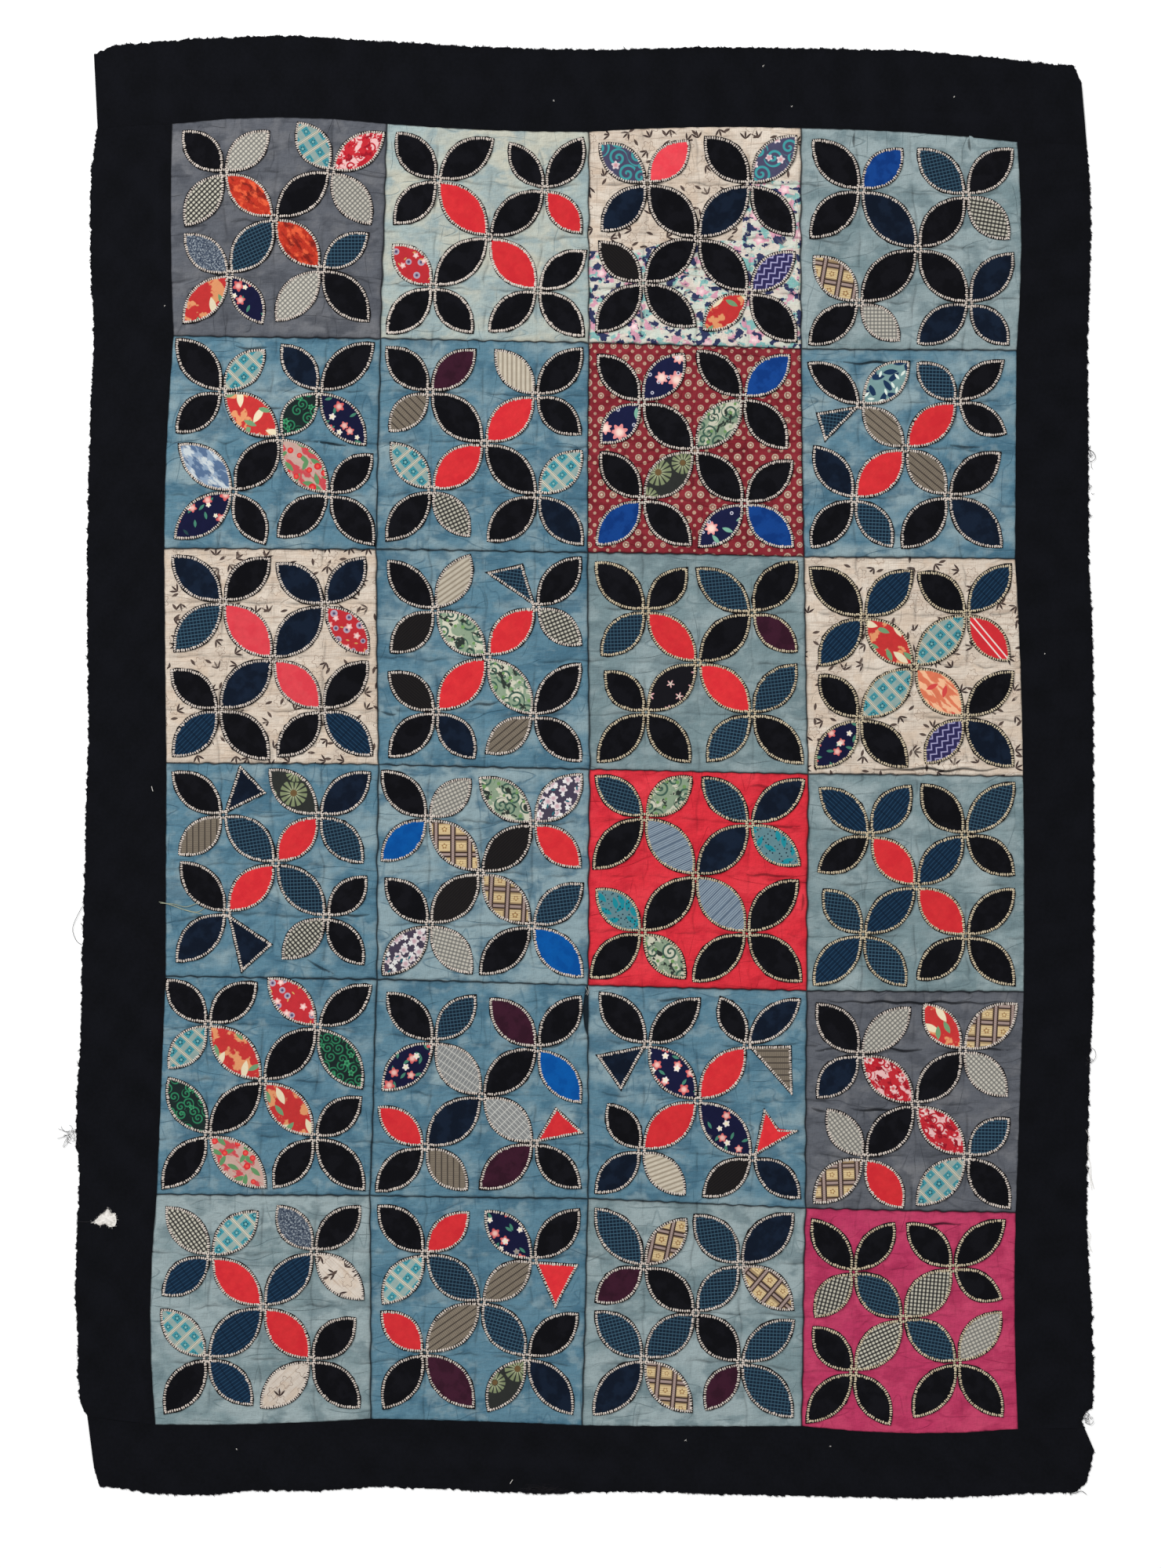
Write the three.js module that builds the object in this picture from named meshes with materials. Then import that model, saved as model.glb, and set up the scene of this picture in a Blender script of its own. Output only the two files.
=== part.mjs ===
// Wedding quilt cover: a hand pieced cotton cover lying flat, face up. Twenty-four square blocks, four across
// and six down, each carry sixteen applied petals, and four plain black strips frame the field.
// Millimetres, +Z up, +Y towards the top edge. The origin lies under the middle, on the surface below.

import * as THREE from "three";

// Heights of the cloth above the surface
const PANEL_SEAM = 1.2;
const PANEL_CREASE = 1.4;
const PANEL_PUFF = 1.9;
const PUFF_UNEVEN = 0.15;
const PETAL_LOW = 2.0;
const PETAL_HIGH = 2.4;
const PETAL_THICK = 1.0;
const BORDER_THICK = 1.6;

// Half of the gap that parts two neighbours
const HALF_GAP = 0.15;

// Each block is a lattice of four by four cells, one petal across each
const CELLS = 4;

// Petals: how they widen from the heart out, and the angle kept clear between neighbours
const HEART_REACH = 5.5;
const HALF_WIDTH_LEAST = 8;
const HALF_WIDTH_SHARE = 0.165;
const WIDTH_UNEVEN = 1.5;
const CLEAR_ANGLE = 0.07;
const STATIONS = [
  { along: 0.25, widen: 0.77, lift: 0.7 },
  { along: 0.5, widen: 1.0, lift: 1.0 },
  { along: 0.75, widen: 0.77, lift: 0.7 },
];

// The seams of the field, from the top edge down: five crossings each, from left to right
const SEAM_LINES = [
  { x: [-564, -270, 6, 296, 592], y: [879, 879, 868, 873, 854] },
  { x: [-562, -279, 6, 296, 591], y: [589, 585, 580, 571, 569] },
  { x: [-575, -285, 4, 300, 589], y: [298, 297, 293, 287, 284] },
  { x: [-572, -282, 7, 306, 600], y: [5, 3, -4, -10, -13] },
  { x: [-573, -284, 5, 304, 601], y: [-287, -291, -299, -307, -308] },
  { x: [-585, -293, 5, 302, 590], y: [-585, -587, -591, -604, -610] },
  { x: [-587, -292, -3, 297, 593], y: [-900, -892, -901, -902, -906] },
];

// How far the field's outer edges bow out between seams
const FIELD_BOW = {
  top: [9, -3, 4, 4],
  bottom: [3, -1, 1, 8],
  left: [3, 3, 0, 0, 0, 8],
  right: [6, 0, 2, 1, 0, -3],
};

// The five hearts of each block, where four petals meet: one in each quarter and one in the middle
const BLOCKS = [
  { row: 1, col: 1, nw: [-493, 812], ne: [-347, 814], mid: [-424, 750], sw: [-485, 673], se: [-360, 680] },
  { row: 1, col: 2, nw: [-201, 802], ne: [-54, 789], mid: [-131, 724], sw: [-207, 656], se: [-64, 651] },
  { row: 1, col: 3, nw: [86, 797], ne: [227, 796], mid: [155, 722], sw: [80, 661], se: [225, 648] },
  { row: 1, col: 4, nw: [378, 788], ne: [522, 781], mid: [456, 708], sw: [376, 634], se: [526, 633] },
  { row: 2, col: 1, nw: [-495, 512], ne: [-363, 513], mid: [-416, 450], sw: [-480, 376], se: [-349, 372] },
  { row: 2, col: 2, nw: [-211, 512], ne: [-67, 507], mid: [-137, 442], sw: [-209, 378], se: [-64, 371] },
  { row: 2, col: 3, nw: [78, 498], ne: [217, 504], mid: [151, 432], sw: [79, 365], se: [219, 360] },
  { row: 2, col: 4, nw: [378, 494], ne: [510, 499], mid: [439, 435], sw: [369, 366], se: [497, 370] },
  { row: 3, col: 1, nw: [-494, 225], ne: [-355, 221], mid: [-426, 147], sw: [-500, 78], se: [-359, 77] },
  { row: 3, col: 2, nw: [-204, 214], ne: [-66, 218], mid: [-133, 150], sw: [-203, 75], se: [-70, 69] },
  { row: 3, col: 3, nw: [84, 213], ne: [229, 210], mid: [155, 142], sw: [84, 74], se: [229, 72] },
  { row: 3, col: 4, nw: [382, 204], ne: [523, 209], mid: [451, 136], sw: [376, 65], se: [520, 67] },
  { row: 4, col: 1, nw: [-494, -66], ne: [-363, -67], mid: [-422, -132], sw: [-489, -200], se: [-353, -206] },
  { row: 4, col: 2, nw: [-214, -71], ne: [-70, -78], mid: [-142, -145], sw: [-212, -216], se: [-72, -218] },
  { row: 4, col: 3, nw: [82, -69], ne: [226, -78], mid: [152, -149], sw: [79, -227], se: [222, -228] },
  { row: 4, col: 4, nw: [391, -94], ne: [520, -93], mid: [454, -164], sw: [381, -230], se: [522, -232] },
  { row: 5, col: 1, nw: [-515, -352], ne: [-365, -356], mid: [-440, -430], sw: [-515, -504], se: [-369, -507] },
  { row: 5, col: 2, nw: [-205, -376], ne: [-64, -385], mid: [-140, -451], sw: [-218, -520], se: [-69, -515] },
  { row: 5, col: 3, nw: [86, -380], ne: [222, -381], mid: [155, -457], sw: [78, -525], se: [230, -535] },
  { row: 5, col: 4, nw: [377, -394], ne: [517, -388], mid: [452, -462], sw: [383, -535], se: [523, -533] },
  { row: 6, col: 1, nw: [-511, -670], ne: [-370, -663], mid: [-439, -739], sw: [-516, -809], se: [-374, -812] },
  { row: 6, col: 2, nw: [-218, -666], ne: [-70, -675], mid: [-141, -732], sw: [-219, -802], se: [-79, -808] },
  { row: 6, col: 3, nw: [81, -684], ne: [213, -681], mid: [152, -747], sw: [81, -810], se: [213, -815] },
  { row: 6, col: 4, nw: [368, -691], ne: [504, -686], mid: [436, -755], sw: [368, -828], se: [510, -815] },
];

// Where the petals that leave each quarter's heart end, by the way they point
const TIPS = [
  { row: 1, col: 1, heart: "nw", nw: [-549, 869], ne: [-431, 869], sw: [-546, 739] },
  { row: 1, col: 1, heart: "ne", nw: [-392, 881], ne: [-273, 867], se: [-292, 741] },
  { row: 1, col: 1, heart: "sw", nw: [-547, 728], sw: [-549, 606], se: [-440, 605] },
  { row: 1, col: 1, heart: "se", ne: [-296, 729], sw: [-422, 609], se: [-295, 608] },
  { row: 1, col: 2, heart: "nw", nw: [-257, 867], ne: [-124, 858], sw: [-260, 742] },
  { row: 1, col: 2, heart: "ne", nw: [-102, 853], ne: [-2, 860], se: [-4, 729] },
  { row: 1, col: 2, heart: "sw", nw: [-262, 714], sw: [-270, 592], se: [-153, 593] },
  { row: 1, col: 2, heart: "se", ne: [2, 705], sw: [-131, 595], se: [-1, 588] },
  { row: 1, col: 3, heart: "nw", nw: [20, 852], ne: [143, 856], sw: [23, 732] },
  { row: 1, col: 3, heart: "ne", nw: [165, 861], ne: [290, 863], se: [287, 726] },
  { row: 1, col: 3, heart: "sw", nw: [20, 718], sw: [16, 594], se: [152, 602] },
  { row: 1, col: 3, heart: "se", ne: [288, 704], sw: [162, 597], se: [290, 581] },
  { row: 1, col: 4, heart: "nw", nw: [312, 857], ne: [435, 845], sw: [309, 723] },
  { row: 1, col: 4, heart: "ne", nw: [456, 845], ne: [586, 845], se: [581, 721] },
  { row: 1, col: 4, heart: "sw", nw: [313, 698], sw: [307, 577], se: [431, 582] },
  { row: 1, col: 4, heart: "se", ne: [586, 702], sw: [455, 578], se: [580, 577] },
  { row: 2, col: 1, heart: "nw", nw: [-558, 585], ne: [-437, 570], sw: [-558, 457] },
  { row: 2, col: 1, heart: "ne", nw: [-414, 577], ne: [-288, 579], se: [-299, 439] },
  { row: 2, col: 1, heart: "sw", nw: [-555, 441], sw: [-561, 312], se: [-437, 304] },
  { row: 2, col: 1, heart: "se", ne: [-290, 427], sw: [-420, 314], se: [-288, 303] },
  { row: 2, col: 2, heart: "nw", nw: [-271, 574], ne: [-149, 570], sw: [-267, 458] },
  { row: 2, col: 2, heart: "ne", nw: [-122, 570], ne: [-3, 572], se: [-5, 454] },
  { row: 2, col: 2, heart: "sw", nw: [-265, 443], sw: [-271, 309], se: [-157, 314] },
  { row: 2, col: 2, heart: "se", ne: [-3, 432], sw: [-133, 308], se: [-2, 303] },
  { row: 2, col: 3, heart: "nw", nw: [18, 563], ne: [137, 565], sw: [22, 442] },
  { row: 2, col: 3, heart: "ne", nw: [154, 569], ne: [281, 563], se: [277, 434] },
  { row: 2, col: 3, heart: "sw", nw: [22, 430], sw: [16, 303], se: [146, 303] },
  { row: 2, col: 3, heart: "se", ne: [285, 418], sw: [156, 300], se: [286, 300] },
  { row: 2, col: 4, heart: "nw", nw: [306, 552], ne: [444, 554] },
  { row: 2, col: 4, heart: "ne", nw: [455, 552], ne: [573, 555], se: [577, 455] },
  { row: 2, col: 4, heart: "sw", nw: [314, 438], sw: [310, 299], se: [421, 300] },
  { row: 2, col: 4, heart: "se", ne: [569, 429], sw: [434, 299], se: [571, 300] },
  { row: 3, col: 1, heart: "nw", nw: [-564, 288], ne: [-430, 285], sw: [-561, 157] },
  { row: 3, col: 1, heart: "ne", nw: [-421, 278], ne: [-300, 286], se: [-295, 153] },
  { row: 3, col: 1, heart: "sw", nw: [-566, 132], sw: [-563, 14], se: [-431, 10] },
  { row: 3, col: 1, heart: "se", ne: [-296, 144], sw: [-420, 14], se: [-290, 15] },
  { row: 3, col: 2, heart: "nw", nw: [-269, 282], ne: [-156, 290], sw: [-265, 156] },
  { row: 3, col: 2, heart: "ne", ne: [-5, 286], se: [-4, 166] },
  { row: 3, col: 2, heart: "sw", nw: [-268, 129], sw: [-267, 13], se: [-150, 11] },
  { row: 3, col: 2, heart: "se", ne: [-5, 141], sw: [-135, 18], se: [-4, 7] },
  { row: 3, col: 3, heart: "nw", nw: [15, 280], ne: [140, 271], sw: [23, 152] },
  { row: 3, col: 3, heart: "ne", nw: [153, 271], ne: [291, 281], se: [291, 157] },
  { row: 3, col: 3, heart: "sw", nw: [28, 130], sw: [18, 6], se: [145, 6] },
  { row: 3, col: 3, heart: "se", ne: [290, 140], sw: [168, 7], se: [299, 4] },
  { row: 3, col: 4, heart: "nw", nw: [308, 272], ne: [448, 268], sw: [321, 138] },
  { row: 3, col: 4, heart: "ne", nw: [456, 265], ne: [583, 276], se: [581, 144] },
  { row: 3, col: 4, heart: "sw", nw: [321, 125], sw: [316, -2], se: [442, -1] },
  { row: 3, col: 4, heart: "se", ne: [587, 130], sw: [466, 4], se: [587, 0] },
  { row: 4, col: 1, heart: "nw", nw: [-564, -8], sw: [-555, -121] },
  { row: 4, col: 1, heart: "ne", nw: [-431, -4], ne: [-293, -8], se: [-303, -132] },
  { row: 4, col: 1, heart: "sw", nw: [-552, -130], sw: [-558, -267] },
  { row: 4, col: 1, heart: "se", ne: [-298, -150], sw: [-413, -263], se: [-302, -271] },
  { row: 4, col: 2, heart: "nw", nw: [-277, -6], ne: [-155, -17], sw: [-278, -129] },
  { row: 4, col: 2, heart: "ne", nw: [-144, -15], ne: [-3, -10], se: [-5, -138] },
  { row: 4, col: 2, heart: "sw", nw: [-272, -153], sw: [-276, -285], se: [-154, -283] },
  { row: 4, col: 2, heart: "se", ne: [-2, -160], sw: [-143, -284], se: [-2, -288] },
  { row: 4, col: 3, heart: "nw", nw: [15, -13], ne: [147, -14], sw: [12, -140] },
  { row: 4, col: 3, heart: "ne", nw: [161, -15], ne: [301, -18], se: [295, -135] },
  { row: 4, col: 3, heart: "sw", nw: [16, -167], sw: [8, -289], se: [138, -290] },
  { row: 4, col: 3, heart: "se", ne: [292, -155], sw: [148, -294], se: [297, -294] },
  { row: 4, col: 4, heart: "nw", nw: [321, -29], ne: [446, -26], sw: [319, -144] },
  { row: 4, col: 4, heart: "ne", nw: [461, -24], ne: [588, -22], se: [588, -148] },
  { row: 4, col: 4, heart: "sw", nw: [327, -168], sw: [313, -299], se: [440, -300] },
  { row: 4, col: 4, heart: "se", ne: [588, -167], sw: [455, -291], se: [588, -299] },
  { row: 5, col: 1, heart: "nw", nw: [-571, -291], ne: [-448, -296], sw: [-569, -413] },
  { row: 5, col: 1, heart: "ne", nw: [-433, -289], ne: [-291, -299], se: [-304, -441] },
  { row: 5, col: 1, heart: "sw", nw: [-569, -425], sw: [-577, -577], se: [-435, -576] },
  { row: 5, col: 1, heart: "se", ne: [-305, -452], sw: [-425, -576], se: [-301, -579] },
  { row: 5, col: 2, heart: "nw", nw: [-270, -309], ne: [-149, -313], sw: [-277, -443] },
  { row: 5, col: 2, heart: "ne", nw: [-129, -317], ne: [-5, -314], se: [-5, -460] },
  { row: 5, col: 2, heart: "sw", nw: [-282, -465], sw: [-285, -581], se: [-160, -579] },
  { row: 5, col: 2, heart: "se", sw: [-143, -577], se: [-5, -576] },
  { row: 5, col: 3, heart: "nw", nw: [21, -309], ne: [158, -317] },
  { row: 5, col: 3, heart: "ne", nw: [186, -315], ne: [295, -318] },
  { row: 5, col: 3, heart: "sw", nw: [32, -461], sw: [15, -583], se: [138, -586] },
  { row: 5, col: 3, heart: "se", sw: [162, -588], se: [295, -590] },
  { row: 5, col: 4, heart: "nw", nw: [318, -324], ne: [446, -329], sw: [318, -453] },
  { row: 5, col: 4, heart: "ne", nw: [464, -324], ne: [592, -324], se: [578, -451] },
  { row: 5, col: 4, heart: "sw", nw: [332, -468], sw: [313, -597], se: [436, -604] },
  { row: 5, col: 4, heart: "se", ne: [581, -481], sw: [454, -600], se: [582, -604] },
  { row: 6, col: 1, heart: "nw", nw: [-572, -602], ne: [-446, -608], sw: [-577, -723] },
  { row: 6, col: 1, heart: "ne", nw: [-420, -600], ne: [-306, -601], se: [-302, -729] },
  { row: 6, col: 1, heart: "sw", nw: [-579, -742], sw: [-574, -884], se: [-454, -873] },
  { row: 6, col: 1, heart: "se", ne: [-313, -754], sw: [-443, -877], se: [-307, -877] },
  { row: 6, col: 2, heart: "nw", nw: [-282, -600], ne: [-158, -609], sw: [-276, -735] },
  { row: 6, col: 2, heart: "ne", nw: [-136, -607], ne: [-7, -605] },
  { row: 6, col: 2, heart: "sw", nw: [-278, -745], sw: [-275, -878], se: [-151, -877] },
  { row: 6, col: 2, heart: "se", ne: [-9, -748], sw: [-132, -882], se: [-16, -886] },
  { row: 6, col: 3, heart: "nw", nw: [15, -604], ne: [140, -618], sw: [15, -732] },
  { row: 6, col: 3, heart: "ne", nw: [150, -613], ne: [286, -611], se: [286, -743] },
  { row: 6, col: 3, heart: "sw", nw: [15, -745], sw: [12, -887], se: [147, -883] },
  { row: 6, col: 3, heart: "se", ne: [287, -757], sw: [166, -880], se: [285, -890] },
  { row: 6, col: 4, heart: "nw", nw: [311, -619], ne: [424, -624], sw: [315, -753] },
  { row: 6, col: 4, heart: "ne", nw: [441, -625], ne: [575, -620], se: [571, -728] },
  { row: 6, col: 4, heart: "sw", nw: [313, -766], sw: [304, -897], se: [418, -900] },
  { row: 6, col: 4, heart: "se", ne: [570, -745], sw: [450, -890], se: [572, -889] },
];

// Petals cut as triangles, or as a fishtail where a notch is given: corners measured from their heart
const ODD_PETALS = [
  { row: 2, col: 4, heart: "nw", ray: "sw", left: [-49, -49], right: [-60, -11] },
  { row: 3, col: 2, heart: "ne", ray: "nw", left: [-68, 47], right: [-19, 58] },
  { row: 4, col: 1, heart: "nw", ray: "ne", left: [23, 67], right: [58, 30] },
  { row: 4, col: 1, heart: "sw", ray: "se", left: [62, -43], right: [20, -81] },
  { row: 5, col: 2, heart: "se", ray: "ne", left: [30, 49], right: [67, 14] },
  { row: 5, col: 3, heart: "nw", ray: "sw", left: [-36, -62], right: [-69, -15] },
  { row: 5, col: 3, heart: "ne", ray: "se", left: [60, -1], right: [62, -68] },
  { row: 5, col: 3, heart: "se", ray: "ne", left: [16, 67], right: [62, 37], notch: [36, 38] },
  { row: 6, col: 2, heart: "ne", ray: "se", left: [61, -6], right: [30, -65] },
];

// The frayed outer edge of the border, corner to corner along each side
const TOP_EDGE = [
  { x: -671, y: 974 },
  { x: -645, y: 986 },
  { x: -540, y: 995 },
  { x: -408, y: 1000 },
  { x: -263, y: 991 },
  { x: -141, y: 984 },
  { x: 32, y: 980 },
  { x: 166, y: 984 },
  { x: 309, y: 982 },
  { x: 453, y: 979 },
  { x: 575, y: 968 },
  { x: 669, y: 959 },
];
const TOP_RIGHT_END = [
  { x: 680, y: 933 },
  { x: 686, y: 899 },
  { x: 687, y: 850 },
];
const RIGHT_EDGE = [
  { x: 693, y: 732 },
  { x: 688, y: 576 },
  { x: 689, y: 448 },
  { x: 690, y: 276 },
  { x: 694, y: 203 },
  { x: 696, y: 29 },
  { x: 697, y: -111 },
  { x: 696, y: -292 },
  { x: 691, y: -406 },
  { x: 688, y: -541 },
  { x: 687, y: -619 },
  { x: 694, y: -741 },
  { x: 697, y: -830 },
  { x: 695, y: -877 },
  { x: 684, y: -884 },
  { x: 681, y: -894 },
];
const BOTTOM_RIGHT_END = [
  { x: 684, y: -905 },
  { x: 693, y: -910 },
  { x: 697, y: -935 },
  { x: 687, y: -980 },
];
const BOTTOM_EDGE = [
  { x: 671, y: -993 },
  { x: 460, y: -1000 },
  { x: 314, y: -998 },
  { x: 107, y: -992 },
  { x: -50, y: -995 },
  { x: -195, y: -988 },
  { x: -285, y: -985 },
  { x: -455, y: -990 },
  { x: -518, y: -997 },
  { x: -595, y: -994 },
  { x: -663, y: -985 },
];
const BOTTOM_LEFT_END = [
  { x: -671, y: -958 },
  { x: -676, y: -923 },
  { x: -680, y: -889 },
];
const LEFT_EDGE = [
  { x: -689, y: -872 },
  { x: -693, y: -831 },
  { x: -697, y: -721 },
  { x: -694, y: -640 },
  { x: -691, y: -542 },
  { x: -695, y: -520 },
  { x: -694, y: -443 },
  { x: -689, y: -378 },
  { x: -687, y: -249 },
  { x: -683, y: -105 },
  { x: -678, y: 38 },
  { x: -679, y: 153 },
  { x: -680, y: 298 },
  { x: -678, y: 406 },
  { x: -672, y: 550 },
  { x: -671, y: 612 },
  { x: -675, y: 663 },
  { x: -676, y: 737 },
  { x: -675, y: 814 },
];
const TOP_LEFT_END = [
  { x: -666, y: 873 },
  { x: -669, y: 932 },
];

// The ragged hole worn in the left strip
const WORN_HOLE = [
  { x: -674, y: -627 },
  { x: -662, y: -630 },
  { x: -651, y: -623 },
  { x: -645, y: -630 },
  { x: -640, y: -625 },
  { x: -643, y: -613 },
  { x: -654, y: -605 },
];

// Finishes: the ground of each block, from the top row down, and the colours
const GROUNDS = [
  ["slate", "mist", "cream", "pale"],
  ["blue", "blue", "maroon", "blue"],
  ["cream", "blue", "pale", "cream"],
  ["blue", "blue", "red", "pale"],
  ["blue", "blue", "blue", "slate"],
  ["pale", "blue", "pale", "magenta"],
];
const GROUND_COLOURS = {
  slate: 0x62666f,
  mist: 0xa3b5b1,
  cream: 0xcfc3b2,
  pale: 0x7f9ba6,
  blue: 0x55809c,
  maroon: 0x6e2a33,
  red: 0xc7303f,
  magenta: 0xb83a66,
};
const PETAL_COLOUR = 0x14161c;
const BORDER_COLOUR = 0x121418;
const CLOTH_ROUGHNESS = 0.92;

// The ways in which petals leave a heart: the heart's own corners on either hand, and the petals beside
const RAYS = {
  ne: { left: "north", right: "east", next: "nw", last: "se" },
  nw: { left: "west", right: "north", next: "sw", last: "ne" },
  sw: { left: "south", right: "west", next: "se", last: "nw" },
  se: { left: "east", right: "south", next: "ne", last: "sw" },
};
const HEART_CORNERS = {
  north: [0, HEART_REACH],
  east: [HEART_REACH, 0],
  south: [0, -HEART_REACH],
  west: [-HEART_REACH, 0],
};
const OPPOSITE = { ne: "sw", nw: "se", sw: "ne", se: "nw" };

// A repeatable unevenness between -1 and 1
function uneven(seed) {
  const wave = Math.sin(seed * 12.9898) * 43758.5453;
  return 2 * (wave - Math.floor(wave)) - 1;
}

function vector([x, y]) {
  return new THREE.Vector2(x, y);
}

function corner(line, seam) {
  return new THREE.Vector2(SEAM_LINES[line].x[seam], SEAM_LINES[line].y[seam]);
}

// A sewn edge between two crossings, bowed to its left hand
function sewnEdge(start, end, bow) {
  const across = end.clone().sub(start);
  const hand = new THREE.Vector2(-across.y, across.x).normalize();
  const points = [];
  for (let step = 0; step <= CELLS; step += 1) {
    const share = step / CELLS;
    const point = start.clone().lerp(end, share);
    points.push(point.addScaledVector(hand, 4 * bow * share * (1 - share)));
  }
  return points;
}

// The four edges of a block, from left to right or from top to bottom
function blockEdges(row, col) {
  const rows = SEAM_LINES.length - 1;
  const cols = SEAM_LINES[0].x.length - 1;
  const bows = {
    top: row === 1 ? FIELD_BOW.top[col - 1] : 0,
    bottom: row === rows ? -FIELD_BOW.bottom[col - 1] : 0,
    left: col === 1 ? -FIELD_BOW.left[row - 1] : 0,
    right: col === cols ? FIELD_BOW.right[row - 1] : 0,
  };
  const topLeft = corner(row - 1, col - 1);
  const topRight = corner(row - 1, col);
  const bottomLeft = corner(row, col - 1);
  const bottomRight = corner(row, col);
  return {
    top: sewnEdge(topLeft, topRight, bows.top),
    bottom: sewnEdge(bottomLeft, bottomRight, bows.bottom),
    left: sewnEdge(topLeft, bottomLeft, bows.left),
    right: sewnEdge(topRight, bottomRight, bows.right),
  };
}

// Draws a closed outline, counter-clockwise, in by a small distance
function drawnIn(outline, distance) {
  const count = outline.length;
  return outline.map((point, index) => {
    const before = point.clone().sub(outline[(index + count - 1) % count]).normalize();
    const after = outline[(index + 1) % count].clone().sub(point).normalize();
    const inBefore = new THREE.Vector2(-before.y, before.x);
    const inAfter = new THREE.Vector2(-after.y, after.x);
    const way = inBefore.add(inAfter).normalize();
    const spread = way.x * -after.y + way.y * after.x;
    return point.clone().addScaledVector(way, distance / spread);
  });
}

// Closes a sheet: upper faces, their lower twins, and a wall along every free edge
function closedSheet(upper, lower, upperFaces, lowerFaces) {
  const count = upper.length;
  const index = [];
  const edges = new Set();
  for (const face of upperFaces) {
    index.push(...face);
    face.forEach((from, place) => edges.add(`${from}_${face[(place + 1) % face.length]}`));
  }
  for (const [a, b, c] of lowerFaces) {
    index.push(count + a, count + c, count + b);
  }
  for (const edge of edges) {
    const [from, to] = edge.split("_").map(Number);
    if (!edges.has(`${to}_${from}`)) {
      index.push(from, count + from, count + to, from, count + to, to);
    }
  }
  const places = [...upper, ...lower].flatMap((point) => [point.x, point.y, point.z]);
  const geometry = new THREE.BufferGeometry();
  geometry.setAttribute("position", new THREE.Float32BufferAttribute(places, 3));
  geometry.setIndex(index);
  geometry.computeVertexNormals();
  return geometry;
}

// The lattice of a block: its drawn-in rim, its hearts, and the crossings halfway between hearts
function blockLattice(block, edges) {
  const rim = [
    ...edges.left.slice(0, CELLS),
    ...edges.bottom.slice(0, CELLS),
    ...edges.right.slice(1).reverse(),
    ...edges.top.slice(1).reverse(),
  ];
  const inner = drawnIn(rim, HALF_GAP);
  const lattice = [];
  for (let down = 0; down <= CELLS; down += 1) {
    lattice.push(new Array(CELLS + 1));
  }
  for (let step = 0; step < CELLS; step += 1) {
    lattice[step][0] = inner[step];
    lattice[CELLS][step] = inner[CELLS + step];
    lattice[CELLS - step][CELLS] = inner[2 * CELLS + step];
    lattice[0][CELLS - step] = inner[3 * CELLS + step];
  }
  const { nw, ne, mid, sw, se } = block.hearts;
  lattice[1][1] = nw;
  lattice[1][3] = ne;
  lattice[2][2] = mid;
  lattice[3][1] = sw;
  lattice[3][3] = se;
  lattice[1][2] = nw.clone().lerp(ne, 0.5);
  lattice[2][1] = nw.clone().lerp(sw, 0.5);
  lattice[2][3] = ne.clone().lerp(se, 0.5);
  lattice[3][2] = sw.clone().lerp(se, 0.5);
  return { rim: inner, lattice };
}

// A block's ground: flat below, puffed between the creases that run through its hearts
function panelGeometry(block, edges) {
  const { rim, lattice } = blockLattice(block, edges);
  const origin = block.hearts.mid;
  const upper = [];
  const faces = [];
  const place = (point, z) => upper.push(new THREE.Vector3(point.x - origin.x, point.y - origin.y, z)) - 1;
  const rimIndex = new Map(rim.map((point) => [point, place(point, PANEL_SEAM)]));
  const crossing = lattice.map((line) =>
    line.map((point) => (rimIndex.has(point) ? rimIndex.get(point) : place(point, PANEL_CREASE)))
  );
  for (let down = 0; down < CELLS; down += 1) {
    for (let across = 0; across < CELLS; across += 1) {
      const corners = [
        [down, across],
        [down + 1, across],
        [down + 1, across + 1],
        [down, across + 1],
      ];
      const centre = new THREE.Vector2();
      corners.forEach(([line, seam]) => centre.addScaledVector(lattice[line][seam], 1 / corners.length));
      const puff = PANEL_PUFF + PUFF_UNEVEN * uneven(block.seed + CELLS * down + across);
      const top = place(centre, puff);
      const ring = corners.map(([line, seam]) => crossing[line][seam]);
      ring.forEach((from, side) => faces.push([from, ring[(side + 1) % ring.length], top]));
    }
  }
  const lower = upper.map((point) => new THREE.Vector3(point.x, point.y, 0));
  const middle = crossing[CELLS / 2][CELLS / 2];
  const lowerFaces = rim.map((point, index) => [
    rimIndex.get(point),
    rimIndex.get(rim[(index + 1) % rim.length]),
    middle,
  ]);
  return closedSheet(upper, lower, faces, lowerFaces);
}

// The row of a table that tells of one quarter of a block
function quarterRow(table, block, heart) {
  return table.filter((row) => row.row === block.row && row.col === block.col && row.heart === heart);
}

// Where the petals of a quarter end: at a tip, at the middle heart, or in the middle of a cut end
function petalEnds(block, heart) {
  const ends = {};
  const [tips] = quarterRow(TIPS, block, heart);
  const odd = quarterRow(ODD_PETALS, block, heart);
  for (const ray of Object.keys(RAYS)) {
    const cut = odd.find((row) => row.ray === ray);
    if (ray === OPPOSITE[heart]) {
      ends[ray] = block.hearts.mid;
    } else if (cut) {
      ends[ray] = block.hearts[heart].clone().add(vector(cut.left).lerp(vector(cut.right), 0.5));
    } else {
      ends[ray] = vector(tips[ray]);
    }
  }
  return ends;
}

// Half a petal's width on the side of one neighbour, which it never crosses
function halfWidth(axis, neighbour, seed) {
  const length = axis.length();
  const wanted = HALF_WIDTH_LEAST + HALF_WIDTH_SHARE * length + WIDTH_UNEVEN * uneven(seed);
  const between = Math.abs(axis.cross(neighbour));
  const angle = Math.atan2(between, axis.dot(neighbour)) / 2 - CLEAR_ANGLE;
  const { along, widen } = STATIONS[0];
  return Math.min(wanted, (along * length * Math.tan(angle)) / widen);
}

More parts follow.
